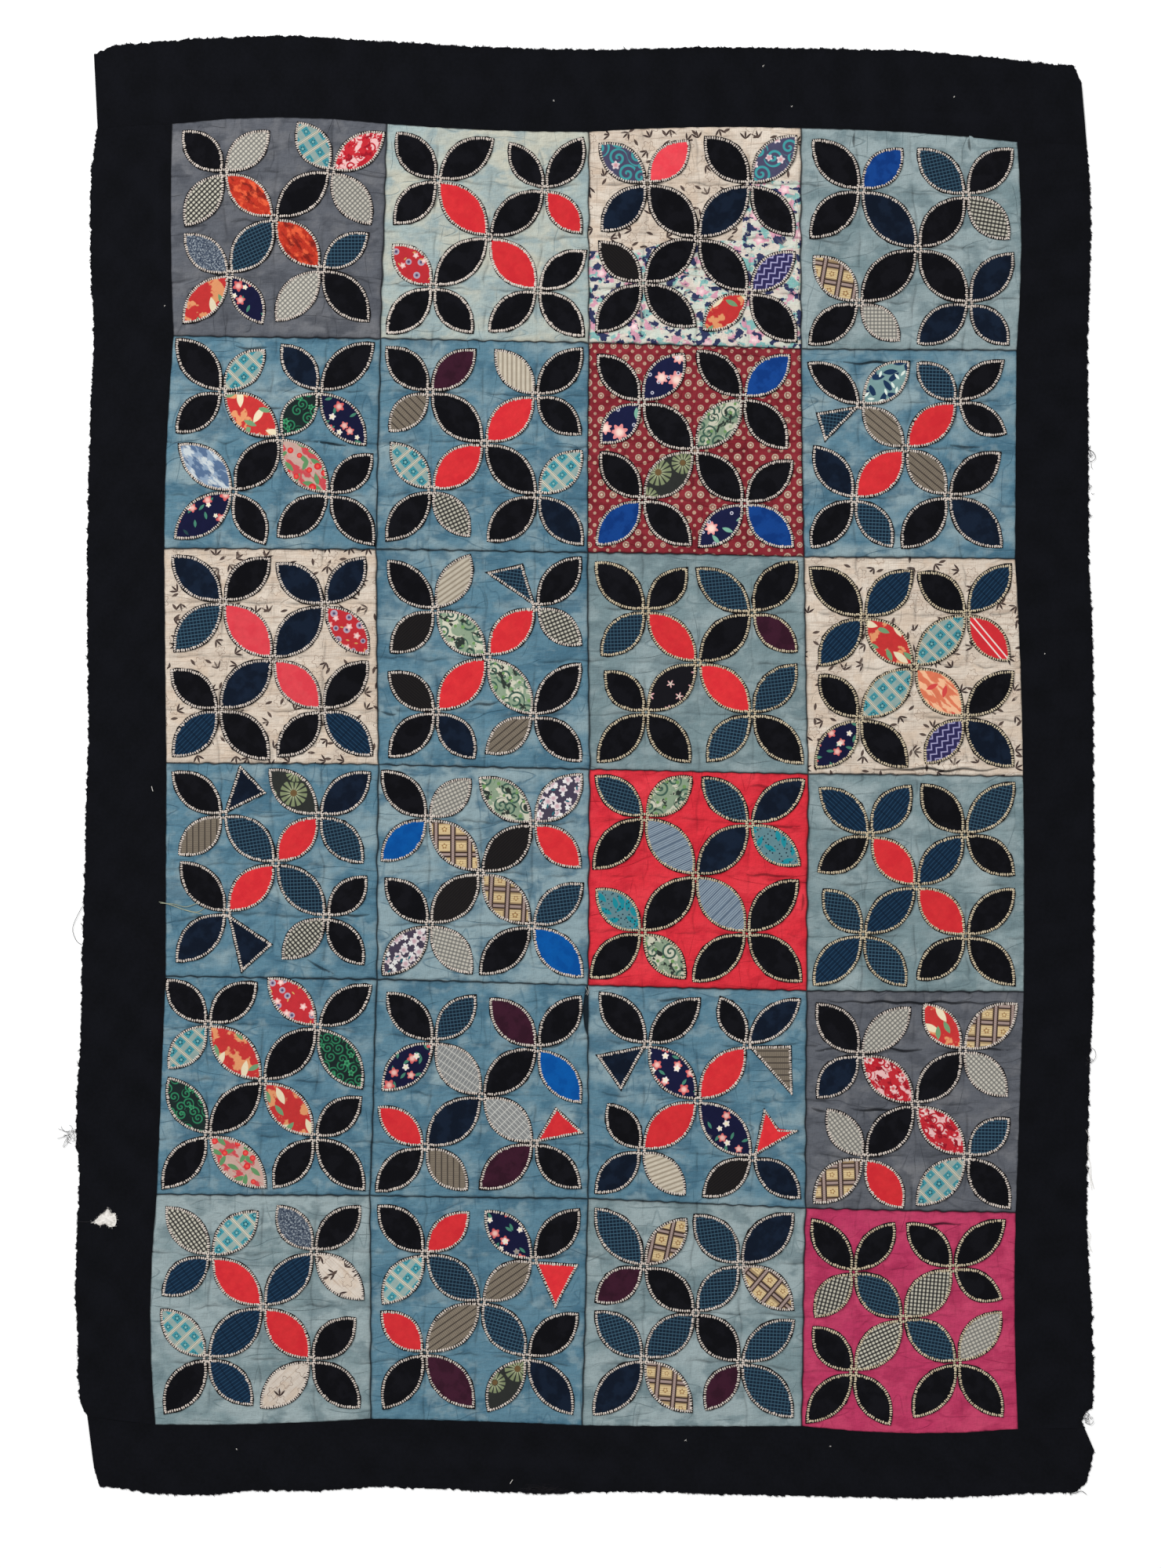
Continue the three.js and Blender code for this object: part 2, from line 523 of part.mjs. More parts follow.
// The sixteen petals of a block, joined at the hearts where their stitched tips cross
function petalsGeometry(block) {
  const origin = block.hearts.mid;
  const points = [];
  const faces = [];
  const place = (point, lift) => {
    const z = PETAL_LOW + (PETAL_HIGH - PETAL_LOW) * lift;
    return points.push(new THREE.Vector3(point.x - origin.x, point.y - origin.y, z)) - 1;
  };
  const heartIndex = {};
  for (const [name, centre] of Object.entries(block.hearts)) {
    heartIndex[name] = {};
    for (const [side, reach] of Object.entries(HEART_CORNERS)) {
      heartIndex[name][side] = place(centre.clone().add(vector(reach)), 0);
    }
    const { north, east, south, west } = heartIndex[name];
    faces.push([north, west, south], [north, south, east]);
  }
  let petal = 0;
  for (const heart of Object.keys(RAYS)) {
    const start = block.hearts[heart];
    const from = heartIndex[heart];
    const ends = petalEnds(block, heart);
    const odd = quarterRow(ODD_PETALS, block, heart);
    for (const ray of Object.keys(RAYS)) {
      const seed = block.seed + 50 + 4 * petal;
      petal += 1;
      let left = from[RAYS[ray].left];
      let right = from[RAYS[ray].right];
      const cut = odd.find((row) => row.ray === ray);
      if (cut) {
        const outLeft = place(start.clone().add(vector(cut.left)), 1);
        const outRight = place(start.clone().add(vector(cut.right)), 1);
        if (cut.notch) {
          const notch = place(start.clone().add(vector(cut.notch)), 1);
          faces.push([left, right, notch], [left, notch, outLeft], [right, outRight, notch]);
        } else {
          faces.push([left, right, outRight], [left, outRight, outLeft]);
        }
        continue;
      }
      const axis = ends[ray].clone().sub(start);
      const hand = new THREE.Vector2(-axis.y, axis.x).normalize();
      const onLeft = ends[RAYS[ray].next].clone().sub(start);
      const onRight = ends[RAYS[ray].last].clone().sub(start);
      const leftWidth = halfWidth(axis, onLeft, seed + 2);
      const rightWidth = halfWidth(axis, onRight, seed + 3);
      for (const { along, widen, lift } of STATIONS) {
        const middle = start.clone().addScaledVector(axis, along);
        const nextLeft = place(middle.clone().addScaledVector(hand, widen * leftWidth), lift);
        const nextRight = place(middle.clone().addScaledVector(hand, -widen * rightWidth), lift);
        faces.push([left, right, nextRight], [left, nextRight, nextLeft]);
        left = nextLeft;
        right = nextRight;
      }
      if (ray === OPPOSITE[heart]) {
        const arrive = RAYS[heart];
        const endLeft = heartIndex.mid[arrive.right];
        const endRight = heartIndex.mid[arrive.left];
        faces.push([left, right, endRight], [left, endRight, endLeft]);
      } else {
        faces.push([left, right, place(ends[ray], 0)]);
      }
    }
  }
  const upper = points.map((point) => new THREE.Vector3(point.x, point.y, point.z + PETAL_THICK));
  return closedSheet(upper, points, faces, faces);
}

// A border strip: its outline, drawn in all round, at one thickness
function stripGeometry(outline, holes) {
  const points = outline.map((point) => new THREE.Vector2(point.x, point.y));
  const shape = new THREE.Shape(drawnIn(points, HALF_GAP));
  for (const hole of holes) {
    shape.holes.push(new THREE.Path(hole.map((point) => new THREE.Vector2(point.x, point.y))));
  }
  return new THREE.ExtrudeGeometry(shape, { depth: BORDER_THICK, bevelEnabled: false });
}

// One side of the field, all its sewn edges in a row
function fieldSide(side) {
  const rows = SEAM_LINES.length - 1;
  const cols = SEAM_LINES[0].x.length - 1;
  const upright = side === "left" || side === "right";
  const points = [];
  for (let step = 1; step <= (upright ? rows : cols); step += 1) {
    const row = upright ? step : { top: 1, bottom: rows }[side];
    const col = upright ? { left: 1, right: cols }[side] : step;
    points.push(...blockEdges(row, col)[side].slice(step > 1 ? 1 : 0));
  }
  return points;
}

function clothMesh(name, geometry, color) {
  const material = new THREE.MeshStandardMaterial({ color, roughness: CLOTH_ROUGHNESS, metalness: 0 });
  const mesh = new THREE.Mesh(geometry, material);
  mesh.name = name;
  return mesh;
}

// The pieced field
function makeField() {
  const field = new THREE.Group();
  for (const row of BLOCKS) {
    const hearts = {};
    for (const name of ["nw", "ne", "mid", "sw", "se"]) {
      hearts[name] = vector(row[name]);
    }
    const block = { ...row, hearts, seed: 1000 * row.row + 100 * row.col };
    const edges = blockEdges(row.row, row.col);
    const pair = new THREE.Group();
    pair.position.set(hearts.mid.x, hearts.mid.y, 0);
    const tag = `r${row.row}c${row.col}`;
    const ground = GROUND_COLOURS[GROUNDS[row.row - 1][row.col - 1]];
    pair.add(clothMesh(`panel_${tag}`, panelGeometry(block, edges), ground));
    pair.add(clothMesh(`petals_${tag}`, petalsGeometry(block), PETAL_COLOUR));
    field.add(pair);
  }
  return field;
}

// The four border strips: the top and bottom ones run the full width, and the side ones lie between them
function makeBorder() {
  const back = (points) => points.slice().reverse();
  const outlines = {
    border_top: [
      TOP_LEFT_END[0],
      ...fieldSide("top"),
      ...back(TOP_RIGHT_END),
      ...back(TOP_EDGE),
      TOP_LEFT_END[1],
    ],
    border_right: [
      ...fieldSide("right"),
      BOTTOM_RIGHT_END[0],
      ...back(RIGHT_EDGE),
      TOP_RIGHT_END.at(-1),
    ],
    border_bottom: [
      ...back(BOTTOM_LEFT_END),
      ...back(BOTTOM_EDGE),
      ...back(BOTTOM_RIGHT_END),
      ...back(fieldSide("bottom")),
    ],
    border_left: [
      TOP_LEFT_END[0],
      ...back(LEFT_EDGE),
      BOTTOM_LEFT_END.at(-1),
      ...back(fieldSide("left")),
    ],
  };
  const border = new THREE.Group();
  for (const [name, outline] of Object.entries(outlines)) {
    const holes = name === "border_left" ? [WORN_HOLE] : [];
    border.add(clothMesh(name, stripGeometry(outline, holes), BORDER_COLOUR));
  }
  return border;
}

const cover = new THREE.Group();
cover.add(makeField());
cover.add(makeBorder());

export default cover;
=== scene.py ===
"""The look of a wedding quilt cover: pieced grounds, applied petals, whipped edges and a frayed border."""

from __future__ import annotations

import logging
import math
from collections.abc import Sequence
from dataclasses import dataclass, field, replace
from enum import Enum
from functools import reduce

import bpy
import numpy as np
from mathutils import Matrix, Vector


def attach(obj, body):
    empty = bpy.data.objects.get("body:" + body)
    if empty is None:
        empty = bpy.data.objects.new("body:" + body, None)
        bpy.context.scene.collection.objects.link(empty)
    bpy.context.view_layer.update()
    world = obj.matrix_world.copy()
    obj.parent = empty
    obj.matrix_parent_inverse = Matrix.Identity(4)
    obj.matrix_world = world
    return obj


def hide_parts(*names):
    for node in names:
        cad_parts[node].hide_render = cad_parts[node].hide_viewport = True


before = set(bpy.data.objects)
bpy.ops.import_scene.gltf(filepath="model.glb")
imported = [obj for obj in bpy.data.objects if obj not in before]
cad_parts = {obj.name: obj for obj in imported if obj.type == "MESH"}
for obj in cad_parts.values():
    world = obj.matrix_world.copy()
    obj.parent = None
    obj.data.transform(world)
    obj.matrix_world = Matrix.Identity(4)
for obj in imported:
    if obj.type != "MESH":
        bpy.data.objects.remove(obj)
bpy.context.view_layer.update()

LOG = logging.getLogger("quilt_cover")
MM = 0.001

Array = np.ndarray
Finish = bpy.types.Material
Piece = bpy.types.Object
Point = tuple[float, float]
Shade = tuple[int, int, int]
Faces = list[tuple[int, ...]]
Pair = tuple[Array, Array]

# A quarter of a block: its heart, then the tips of the petals that don't lead to the block's middle, from the
# top left on, with none where a petal is cut
Quarter = tuple[Point, Point | None, Point | None, Point | None]


class Way(Enum):
    """The four ways in which petals leave a heart, counter-clockwise."""

    NE = "ne"
    NW = "nw"
    SW = "sw"
    SE = "se"

    def turned(self, quarters: int) -> Way:
        """The way so many quarter turns to the left."""
        ways = list(Way)
        return ways[(ways.index(self) + quarters) % len(ways)]

    @property
    def low(self) -> bool:
        """Whether the way leads down."""
        return self in (Way.SW, Way.SE)

    @property
    def right(self) -> bool:
        """Whether the way leads to the right."""
        return self in (Way.NE, Way.SE)


READING = (Way.NW, Way.NE, Way.SW, Way.SE)


class Side(Enum):
    """The sides of the field, each with a strip of the border along it."""

    TOP = "top"
    BOTTOM = "bottom"
    LEFT = "left"
    RIGHT = "right"


# How far points lie from each side
Gaps = dict[Side, Array]


class Ground(Enum):
    """The grounds of the blocks."""

    SLATE = "ground_slate"
    MIST = "ground_mist"
    CREAM = "ground_cream"
    PALE = "ground_pale"
    BLUE = "ground_blue"
    MAROON = "ground_maroon"
    RED = "ground_red"
    MAGENTA = "ground_magenta"
    PIECED = "ground_pieced"


class Thread(Enum):
    """The threads of the whipped edges."""

    WHITE = "thread_white"
    CREAM = "thread_cream"


@dataclass(frozen=True)
class Block:
    """One block: its place, ground and fading, its petals' cloths by row, its hearts and tips, its thread."""

    row: int
    col: int
    ground: Ground
    faded: float
    chart: str
    mid: Point
    nw: Quarter
    ne: Quarter
    sw: Quarter
    se: Quarter
    thread: Thread = Thread.WHITE

    @property
    def tag(self) -> str:
        """The block's name."""
        return f"r{self.row}c{self.col}"

    @property
    def seed(self) -> float:
        """The seed of the block's unevenness."""
        return 1000 * self.row + 100 * self.col

    @property
    def free(self) -> set[Side]:
        """The sides that lie on the border and not on another block."""
        ends = (self.row == 1, self.row == ROWS, self.col == 1, self.col == COLS)
        return {side for side, free in zip(Side, ends) if free}

    def quarter(self, way: Way) -> Quarter:
        """The quarter that lies one way from the middle."""
        return getattr(self, way.value)

    def heart(self, way: Way) -> Array:
        """The heart of one quarter."""
        return np.array(self.quarter(way)[0], float)


@dataclass(frozen=True)
class CutEnd:
    """A petal cut as a triangle or a fishtail, its corners measured from the heart."""

    left: Point
    right: Point
    notch: Point | None = None


@dataclass(frozen=True)
class Fold:
    """A crease in a cloth: its two ends and how high its lip stands, in millimetres."""

    start: Point
    end: Point
    lip: float = 0.9


@dataclass(frozen=True)
class Rip:
    """A seam that has come open beside one block: its two ends and how wide it gapes, in millimetres."""

    tag: str
    top: Point
    bottom: Point
    gape: float
    reach: float = 8.0
    roundness: float = 0.7
    bed_z: float = 0.35

    def opened(self, places: Array) -> Array:
        """Draws the block's edge back from the seam.

        Args:
            places: The block's points.

        Returns:
            The points with the seam open.
        """
        share = np.clip((self.top[1] - places[:, 1]) / (self.top[1] - self.bottom[1]), 0, 1)
        drawn = self.gape * np.sin(math.pi * share) ** self.roundness
        drawn = drawn * near(places[:, 0] - self.top[0], self.reach)
        return places - np.column_stack([drawn, np.zeros(len(places))])

    def bed(self) -> Array:
        """Gives the corners of the dark cloth that shows below, counter-clockwise; it is painted fully dark,
        for the cloth and the shade in the gap.

        Returns:
            The corners.
        """
        left, right = self.top[0] - 2 * self.gape, self.top[0] + self.gape / 2
        low, high = self.bottom[1], self.top[1]
        return np.array([(left, low), (right, low), (right, high), (left, high)])


RIP = Rip("r5c2", (5, -300), (5, -366), 6.0)

# The seams of the field, from the top edge down: five crossings each, from left to right
SEAM_LINES = (
    ((-564, 879), (-270, 879), (6, 868), (296, 873), (592, 854)),
    ((-562, 589), (-279, 585), (6, 580), (296, 571), (591, 569)),
    ((-575, 298), (-285, 297), (4, 293), (300, 287), (589, 284)),
    ((-572, 5), (-282, 3), (7, -4), (306, -10), (600, -13)),
    ((-573, -287), (-284, -291), (5, -299), (304, -307), (601, -308)),
    ((-585, -585), (-293, -587), (5, -591), (302, -604), (590, -610)),
    ((-587, -900), (-292, -892), (-3, -901), (297, -902), (593, -906)),
)
ROWS = len(SEAM_LINES) - 1
COLS = len(SEAM_LINES[0]) - 1

# How far the field's outer edges bow out between seams
BOWS = {
    Side.TOP: (9, -3, 4, 4),
    Side.BOTTOM: (3, -1, 1, 8),
    Side.LEFT: (3, 3, 0, 0, 0, 8),
    Side.RIGHT: (6, 0, 2, 1, 0, -3),
}

# The blocks, with their charts of cloths read from the top row down
BLOCKS = (
    Block(
        1, 1, Ground.SLATE, 0.3, "KgEZ GSKg fISI YFgK", (-424, 750),
        ((-493, 812), (-549, 869), (-431, 869), (-546, 739)),
        ((-347, 814), (-392, 881), (-273, 867), (-292, 741)),
        ((-485, 673), (-547, 728), (-549, 606), (-440, 605)),
        ((-360, 680), (-296, 729), (-422, 609), (-295, 608)),
    ),
    Block(
        1, 2, Ground.MIST, 0.5, "KKKK KRKR VKRK KKKK", (-131, 724),
        ((-201, 802), (-257, 867), (-124, 858), (-260, 742)),
        ((-54, 789), (-102, 853), (-2, 860), (-4, 729)),
        ((-207, 656), (-262, 714), (-270, 592), (-153, 593)),
        ((-64, 651), (2, 705), (-131, 595), (-1, 588)),
    ),
    Block(
        1, 3, Ground.PIECED, 0.5, "tOKt NKNK CKKz KKYK", (155, 722),
        ((86, 797), (20, 852), (143, 856), (23, 732)),
        ((227, 796), (165, 861), (290, 863), (287, 726)),
        ((80, 661), (20, 718), (16, 594), (152, 602)),
        ((225, 648), (288, 704), (162, 597), (290, 581)),
    ),
    Block(
        1, 4, Ground.PALE, 0.6, "KBIK KNKG bKKN KgNN", (456, 708),
        ((378, 788), (312, 857), (435, 845), (309, 723)),
        ((522, 781), (456, 845), (586, 845), (581, 721)),
        ((376, 634), (313, 698), (307, 577), (431, 582)),
        ((526, 633), (586, 702), (455, 578), (580, 577)),
    ),
    Block(
        2, 1, Ground.BLUE, 0.35, "KENK KYXF wKpK FKKK", (-416, 450),
        ((-495, 512), (-558, 585), (-437, 570), (-558, 457)),
        ((-363, 513), (-414, 577), (-288, 579), (-299, 439)),
        ((-480, 376), (-555, 441), (-561, 312), (-437, 304)),
        ((-349, 372), (-290, 427), (-420, 314), (-288, 303)),
    ),
    Block(
        2, 2, Ground.BLUE, 0.4, "KPWK TKRK ERKE KGKN", (-137, 442),
        ((-211, 512), (-271, 574), (-149, 570), (-267, 458)),
        ((-67, 507), (-122, 570), (-3, 572), (-5, 454)),
        ((-209, 378), (-265, 443), (-271, 309), (-157, 314)),
        ((-64, 371), (-3, 432), (-133, 308), (-2, 303)),
    ),
    Block(
        2, 3, Ground.MAROON, 0.5, "KQKB QKMK KAKK BKQB", (151, 432),
        ((78, 498), (18, 563), (137, 565), (22, 442)),
        ((217, 504), (154, 569), (281, 563), (277, 434)),
        ((79, 365), (22, 430), (16, 303), (146, 303)),
        ((219, 360), (285, 418), (156, 300), (286, 300)),
    ),
    Block(
        2, 4, Ground.BLUE, 0.45, "KmIK ITRK NRTK KIKN", (439, 435),
        ((378, 494), (306, 552), (444, 554), None),
        ((510, 499), (455, 552), (573, 555), (577, 455)),
        ((369, 366), (314, 438), (310, 299), (421, 300)),
        ((497, 370), (569, 429), (434, 299), (571, 300)),
    ),
    Block(
        3, 1, Ground.CREAM, 0.3, "NKNN IONV KNOK DKKD", (-426, 147),
        ((-494, 225), (-564, 288), (-430, 285), (-561, 157)),
        ((-355, 221), (-421, 278), (-300, 286), (-295, 153)),
        ((-500, 78), (-566, 132), (-563, 14), (-431, 10)),
        ((-359, 77), (-296, 144), (-420, 14), (-290, 15)),
    ),
    Block(
        3, 2, Ground.BLUE, 0.35, "KWIK CMRG CRMK KNTK", (-133, 150),
        ((-204, 214), (-269, 282), (-156, 290), (-265, 156)),
        ((-66, 218), None, (-5, 286), (-4, 166)),
        ((-203, 75), (-268, 129), (-267, 13), (-150, 11)),
        ((-70, 69), (-5, 141), (-135, 18), (-4, 7)),
    ),
    Block(
        3, 3, Ground.PALE, 0.4, "KKIK IRKP KeRI KKIK", (155, 142),
        ((84, 213), (15, 280), (140, 271), (23, 152)),
        ((229, 210), (153, 271), (291, 281), (291, 157)),
        ((84, 74), (28, 130), (18, 6), (145, 6)),
        ((229, 72), (290, 140), (168, 7), (299, 4)),
        Thread.CREAM,
    ),
    Block(
        3, 4, Ground.CREAM, 0.4, "KDKD DYEl KEhK FKzN", (451, 136),
        ((382, 204), (308, 272), (448, 268), (321, 138)),
        ((523, 209), (456, 265), (583, 276), (581, 144)),
        ((376, 65), (321, 125), (316, -2), (442, -1)),
        ((520, 67), (587, 130), (466, 4), (587, 0)),
        Thread.CREAM,
    ),
    Block(
        4, 1, Ground.BLUE, 0.35, "KNAN TIRI KRIK NNGK", (-422, -132),
        ((-494, -66), (-564, -8), None, (-555, -121)),
        ((-363, -67), (-431, -4), (-293, -8), (-303, -132)),
        ((-489, -200), (-552, -130), (-558, -267), None),
        ((-353, -206), (-298, -150), (-413, -263), (-302, -271)),
    ),
    Block(
        4, 2, Ground.BLUE, 0.65, "KgMJ qbCR KCbI JgKq", (-142, -145),
        ((-214, -71), (-277, -6), (-155, -17), (-278, -129)),
        ((-70, -78), (-144, -15), (-3, -10), (-5, -138)),
        ((-212, -216), (-272, -153), (-276, -285), (-154, -283)),
        ((-72, -218), (-2, -160), (-143, -284), (-2, -288)),
    ),
    Block(
        4, 3, Ground.RED, 0.4, "IMIN KHNU UKHK KMKK", (152, -149),
        ((82, -69), (15, -13), (147, -14), (12, -140)),
        ((226, -78), (161, -15), (301, -18), (295, -135)),
        ((79, -227), (16, -167), (8, -289), (138, -290)),
        ((222, -228), (292, -155), (148, -294), (297, -294)),
        Thread.CREAM,
    ),
    Block(
        4, 4, Ground.PALE, 0.45, "DDKI KRDK IDRK DIKK", (454, -164),
        ((391, -94), (321, -29), (446, -26), (319, -144)),
        ((520, -93), (461, -24), (588, -22), (588, -148)),
        ((381, -230), (327, -168), (313, -299), (440, -300)),
        ((522, -232), (588, -167), (455, -291), (588, -299)),
        Thread.CREAM,
    ),
    Block(
        5, 1, Ground.BLUE, 0.22, "KKVK EYKX XKYK KpKK", (-440, -430),
        ((-515, -352), (-571, -291), (-448, -296), (-569, -413)),
        ((-365, -356), (-433, -289), (-291, -299), (-304, -441)),
        ((-515, -504), (-569, -425), (-577, -577), (-435, -576)),
        ((-369, -507), (-305, -452), (-425, -576), (-301, -579)),
    ),
    Block(
        5, 2, Ground.BLUE, 0.3, "KIPK FLKq RNLR KTPK", (-140, -451),
        ((-205, -376), (-270, -309), (-149, -313), (-277, -443)),
        ((-64, -385), (-129, -317), (-5, -314), (-5, -460)),
        ((-218, -520), (-282, -465), (-285, -581), (-160, -579)),
        ((-69, -515), None, (-143, -577), (-5, -576)),
    ),
    Block(
        5, 3, Ground.BLUE, 0.35, "KKKN NFRT KRFR NWCN", (155, -457),
        ((86, -380), (21, -309), (158, -317), None),
        ((222, -381), (186, -315), (295, -318), None),
        ((78, -525), (32, -461), (15, -583), (138, -586)),
        ((230, -535), None, (162, -588), (295, -590)),
    ),
    Block(
        5, 4, Ground.SLATE, 0.32, "KgYb NZKg gKZI bREK", (452, -462),
        ((377, -394), (318, -324), (446, -329), (318, -453)),
        ((517, -388), (464, -324), (592, -324), (578, -451)),
        ((383, -535), (332, -468), (313, -597), (436, -604)),
        ((523, -533), (581, -481), (454, -600), (582, -604)),
    ),
    Block(
        6, 1, Ground.PALE, 0.6, "GEfK DRDc EDRK KDcK", (-439, -739),
        ((-511, -670), (-572, -602), (-446, -608), (-577, -723)),
        ((-370, -663), (-420, -600), (-306, -601), (-302, -729)),
        ((-516, -809), (-579, -742), (-574, -884), (-454, -873)),
        ((-374, -812), (-313, -754), (-443, -877), (-307, -877)),
    ),
    Block(
        6, 2, Ground.BLUE, 0.12, "KRFK EITR RTIK KPAN", (-141, -732),
        ((-218, -666), (-282, -600), (-158, -609), (-276, -735)),
        ((-70, -675), (-136, -607), (-7, -605), None),
        ((-219, -802), (-278, -745), (-275, -878), (-151, -877)),
        ((-79, -808), (-9, -748), (-132, -882), (-16, -886)),
    ),
    Block(
        6, 3, Ground.PALE, 0.55, "IbIN PKIb IIKI NbPI", (152, -747),
        ((81, -684), (15, -604), (140, -618), (15, -732)),
        ((213, -681), (150, -613), (286, -611), (286, -743)),
        ((81, -810), (15, -745), (12, -887), (147, -883)),
        ((213, -815), (287, -757), (166, -880), (285, -890)),
    ),
    Block(
        6, 4, Ground.MAGENTA, 0.5, "KKKK GIGK KGIg KKKK", (436, -755),
        ((368, -691), (311, -619), (424, -624), (315, -753)),
        ((504, -686), (441, -625), (575, -620), (571, -728)),
        ((368, -828), (313, -766), (304, -897), (418, -900)),
        ((510, -815), (570, -745), (450, -890), (572, -889)),
        Thread.CREAM,
    ),
)

# Petals cut as triangles, or as a fishtail where a notch is given: block, quarter and way
CUT_ENDS = {
    "r2c4 nw sw": CutEnd((-49, -49), (-60, -11)),
    "r3c2 ne nw": CutEnd((-68, 47), (-19, 58)),
    "r4c1 nw ne": CutEnd((23, 67), (58, 30)),
    "r4c1 sw se": CutEnd((62, -43), (20, -81)),
    "r5c2 se ne": CutEnd((30, 49), (67, 14)),
    "r5c3 nw sw": CutEnd((-36, -62), (-69, -15)),
    "r5c3 ne se": CutEnd((60, -1), (62, -68)),
    "r5c3 se ne": CutEnd((16, 67), (62, 37), (36, 38)),
    "r6c2 ne se": CutEnd((61, -6), (30, -65)),
}

# Which way a petal's stripes or checks run, in degrees from the right hand, where they don't follow it
TURNS = {
    "r1c1 nw sw": 45, "r1c1 nw ne": 45, "r1c1 ne se": 45, "r1c1 se sw": 45, "r1c1 sw ne": 25,
    "r1c4 ne se": -10, "r1c4 sw se": 0, "r1c4 sw nw": -10, "r2c2 nw sw": -45, "r2c2 ne nw": 90,
    "r2c2 sw se": 25, "r2c4 nw se": -40, "r2c4 se nw": -40, "r3c2 nw ne": 35, "r3c2 ne se": 22,
    "r3c2 se sw": 40, "r3c4 ne se": -50, "r4c1 nw sw": 90, "r4c1 se sw": -50, "r4c2 nw ne": 25,
    "r4c2 sw se": -15, "r4c2 nw se": 0, "r4c2 se nw": -3, "r4c3 nw se": 25, "r4c3 se nw": 45,
    "r5c2 nw se": 55, "r5c2 se nw": -45, "r5c2 sw se": 90, "r5c3 ne se": 0, "r5c3 sw se": 20,
    "r5c4 ne ne": -3, "r5c4 sw sw": 2, "r6c1 nw nw": -55, "r6c1 nw sw": 35, "r6c1 ne sw": 35,
    "r6c1 sw ne": 35, "r6c1 sw se": 35, "r6c2 ne sw": 35, "r6c2 sw ne": 35, "r6c3 nw ne": -12,
    "r6c3 sw se": -5, "r6c4 nw sw": 75, "r6c4 ne sw": 85, "r6c4 sw ne": 25, "r6c4 se ne": 25,
}

# Creases and tucks that stay in the blocks and in the strips of the border
FOLDS = {
    "r1c4": (Fold((371, 870), (371, 845)), Fold((525, 862), (530, 840)), Fold((480, 712), (540, 712), 0.6)),
    "r2c1": (
        Fold((-480, 575), (-430, 573)), Fold((-470, 495), (-410, 490)), Fold((-375, 445), (-318, 441), 1.2),
    ),
    "r2c4": (Fold((345, 554), (450, 554), 1.3), Fold((495, 441), (545, 436))),
    "r3c2": (Fold((-160, 82), (-115, 90)), Fold((-280, 78), (-255, 73))),
    "r3c4": (Fold((370, -2), (590, -3), 1.2),),
    "r4c1": (Fold((-380, -262), (-340, -285)), Fold((-345, -202), (-290, -203))),
    "r4c3": (
        Fold((222, -25), (262, -26), 0.7), Fold((240, -80), (300, -81), 0.75),
        Fold((212, -146), (300, -150), 0.8), Fold((297, -200), (297, -170), 0.75),
    ),
    "r5c3": (Fold((95, -317), (140, -318)),),
    "r5c4": (
        Fold((312, -320), (588, -322), 1.2), Fold((486, -383), (588, -386), 1.1),
        Fold((400, -383), (466, -388), 1.0), Fold((312, -386), (352, -384)),
        Fold((362, -467), (438, -469), 1.1), Fold((462, -470), (498, -471), 1.0),
        Fold((308, -466), (336, -470)),
    ),
    "r6c4": (Fold((440, -624), (520, -625), 1.2),),
    "top": (Fold((270, 893), (590, 887), 0.7), Fold((-300, 940), (-80, 934), 0.4)),
    "right": (Fold((640, 300), (644, -40), 0.4),),
    "bottom": (Fold((-300, -950), (60, -953), 0.4),),
    "left": (Fold((-585, 835), (-583, 690), 0.6), Fold((-622, -775), (-596, -890), 0.6)),
}

# Flowers whose stitches lie side by side
DENSE = ("r1c2 sw", "r1c2 se")

# The frayed outer edge of the border, each strip's from its first corner to its last
EDGES = {
    Side.TOP: (
        (-671, 974), (-645, 986), (-540, 995), (-408, 1000), (-263, 991), (-141, 984), (-47, 981),
        (32, 980), (166, 984), (309, 982), (453, 979), (575, 968), (619, 962), (669, 959), (680, 933),
    ),
    Side.RIGHT: (
        (687, 850), (691, 803), (693, 732), (691, 663), (688, 576), (689, 448), (690, 276), (694, 203),
        (696, 122), (696, 29), (697, -111), (696, -292), (695, -333), (691, -406), (689, -502),
        (688, -541), (687, -619), (690, -689), (694, -741), (695, -793), (697, -830), (695, -877),
        (684, -884), (681, -894), (684, -905),
    ),
    Side.BOTTOM: (
        (-671, -958), (-663, -985), (-628, -988), (-595, -994), (-518, -997), (-455, -990), (-369, -991),
        (-285, -985), (-195, -988), (-140, -991), (-50, -995), (16, -992), (107, -992), (166, -995),
        (314, -998), (460, -1001), (541, -998), (607, -994), (671, -993), (687, -980), (697, -935),
    ),
    Side.LEFT: (
        (-666, 873), (-671, 842), (-675, 814), (-676, 737), (-675, 663), (-671, 612), (-672, 550),
        (-675, 497), (-678, 406), (-680, 298), (-680, 213), (-679, 105), (-678, 38), (-681, -24),
        (-684, -168), (-687, -249), (-689, -378), (-694, -443), (-695, -466), (-695, -520), (-691, -542),
        (-692, -596), (-694, -640), (-697, -721), (-693, -774), (-693, -831), (-689, -872), (-680, -889),
    ),
}
WORN_HOLE = (
    (-672, -623), (-662, -627), (-656, -624), (-650, -629), (-643, -628), (-641, -622), (-642, -611),
    (-648, -612), (-650, -606), (-653, -605), (-656, -611), (-662, -614),
)

# What stirs and scatters a seed into a repeatable unevenness
STIR = 12.9898
SCATTER = 43758.5453

# How many waves cross in a ripple, and how much their lengths differ
WAVES = 5
WAVE_SPREAD = 0.3

# How far a finish shines
SHEEN = 0.06

# The shades of what darkens cloth: shadow on petals, thick yarns, and soil with painted shade in seams,
# creases and folds
PETAL_SHADOW = (4, 4, 6)
YARN_SHADOW = (10, 12, 16)
SOIL_AND_SHADE = (12, 13, 18)

# The shortest vector that has a way, and the sharpest corner that an offset follows
TINY = 1e-6
SHARPEST = 0.62


def uneven(seed: float) -> float:
    """Gives a repeatable unevenness between -1 and 1."""
    wave = math.sin(seed * STIR) * SCATTER
    return 2 * (wave - math.floor(wave)) - 1


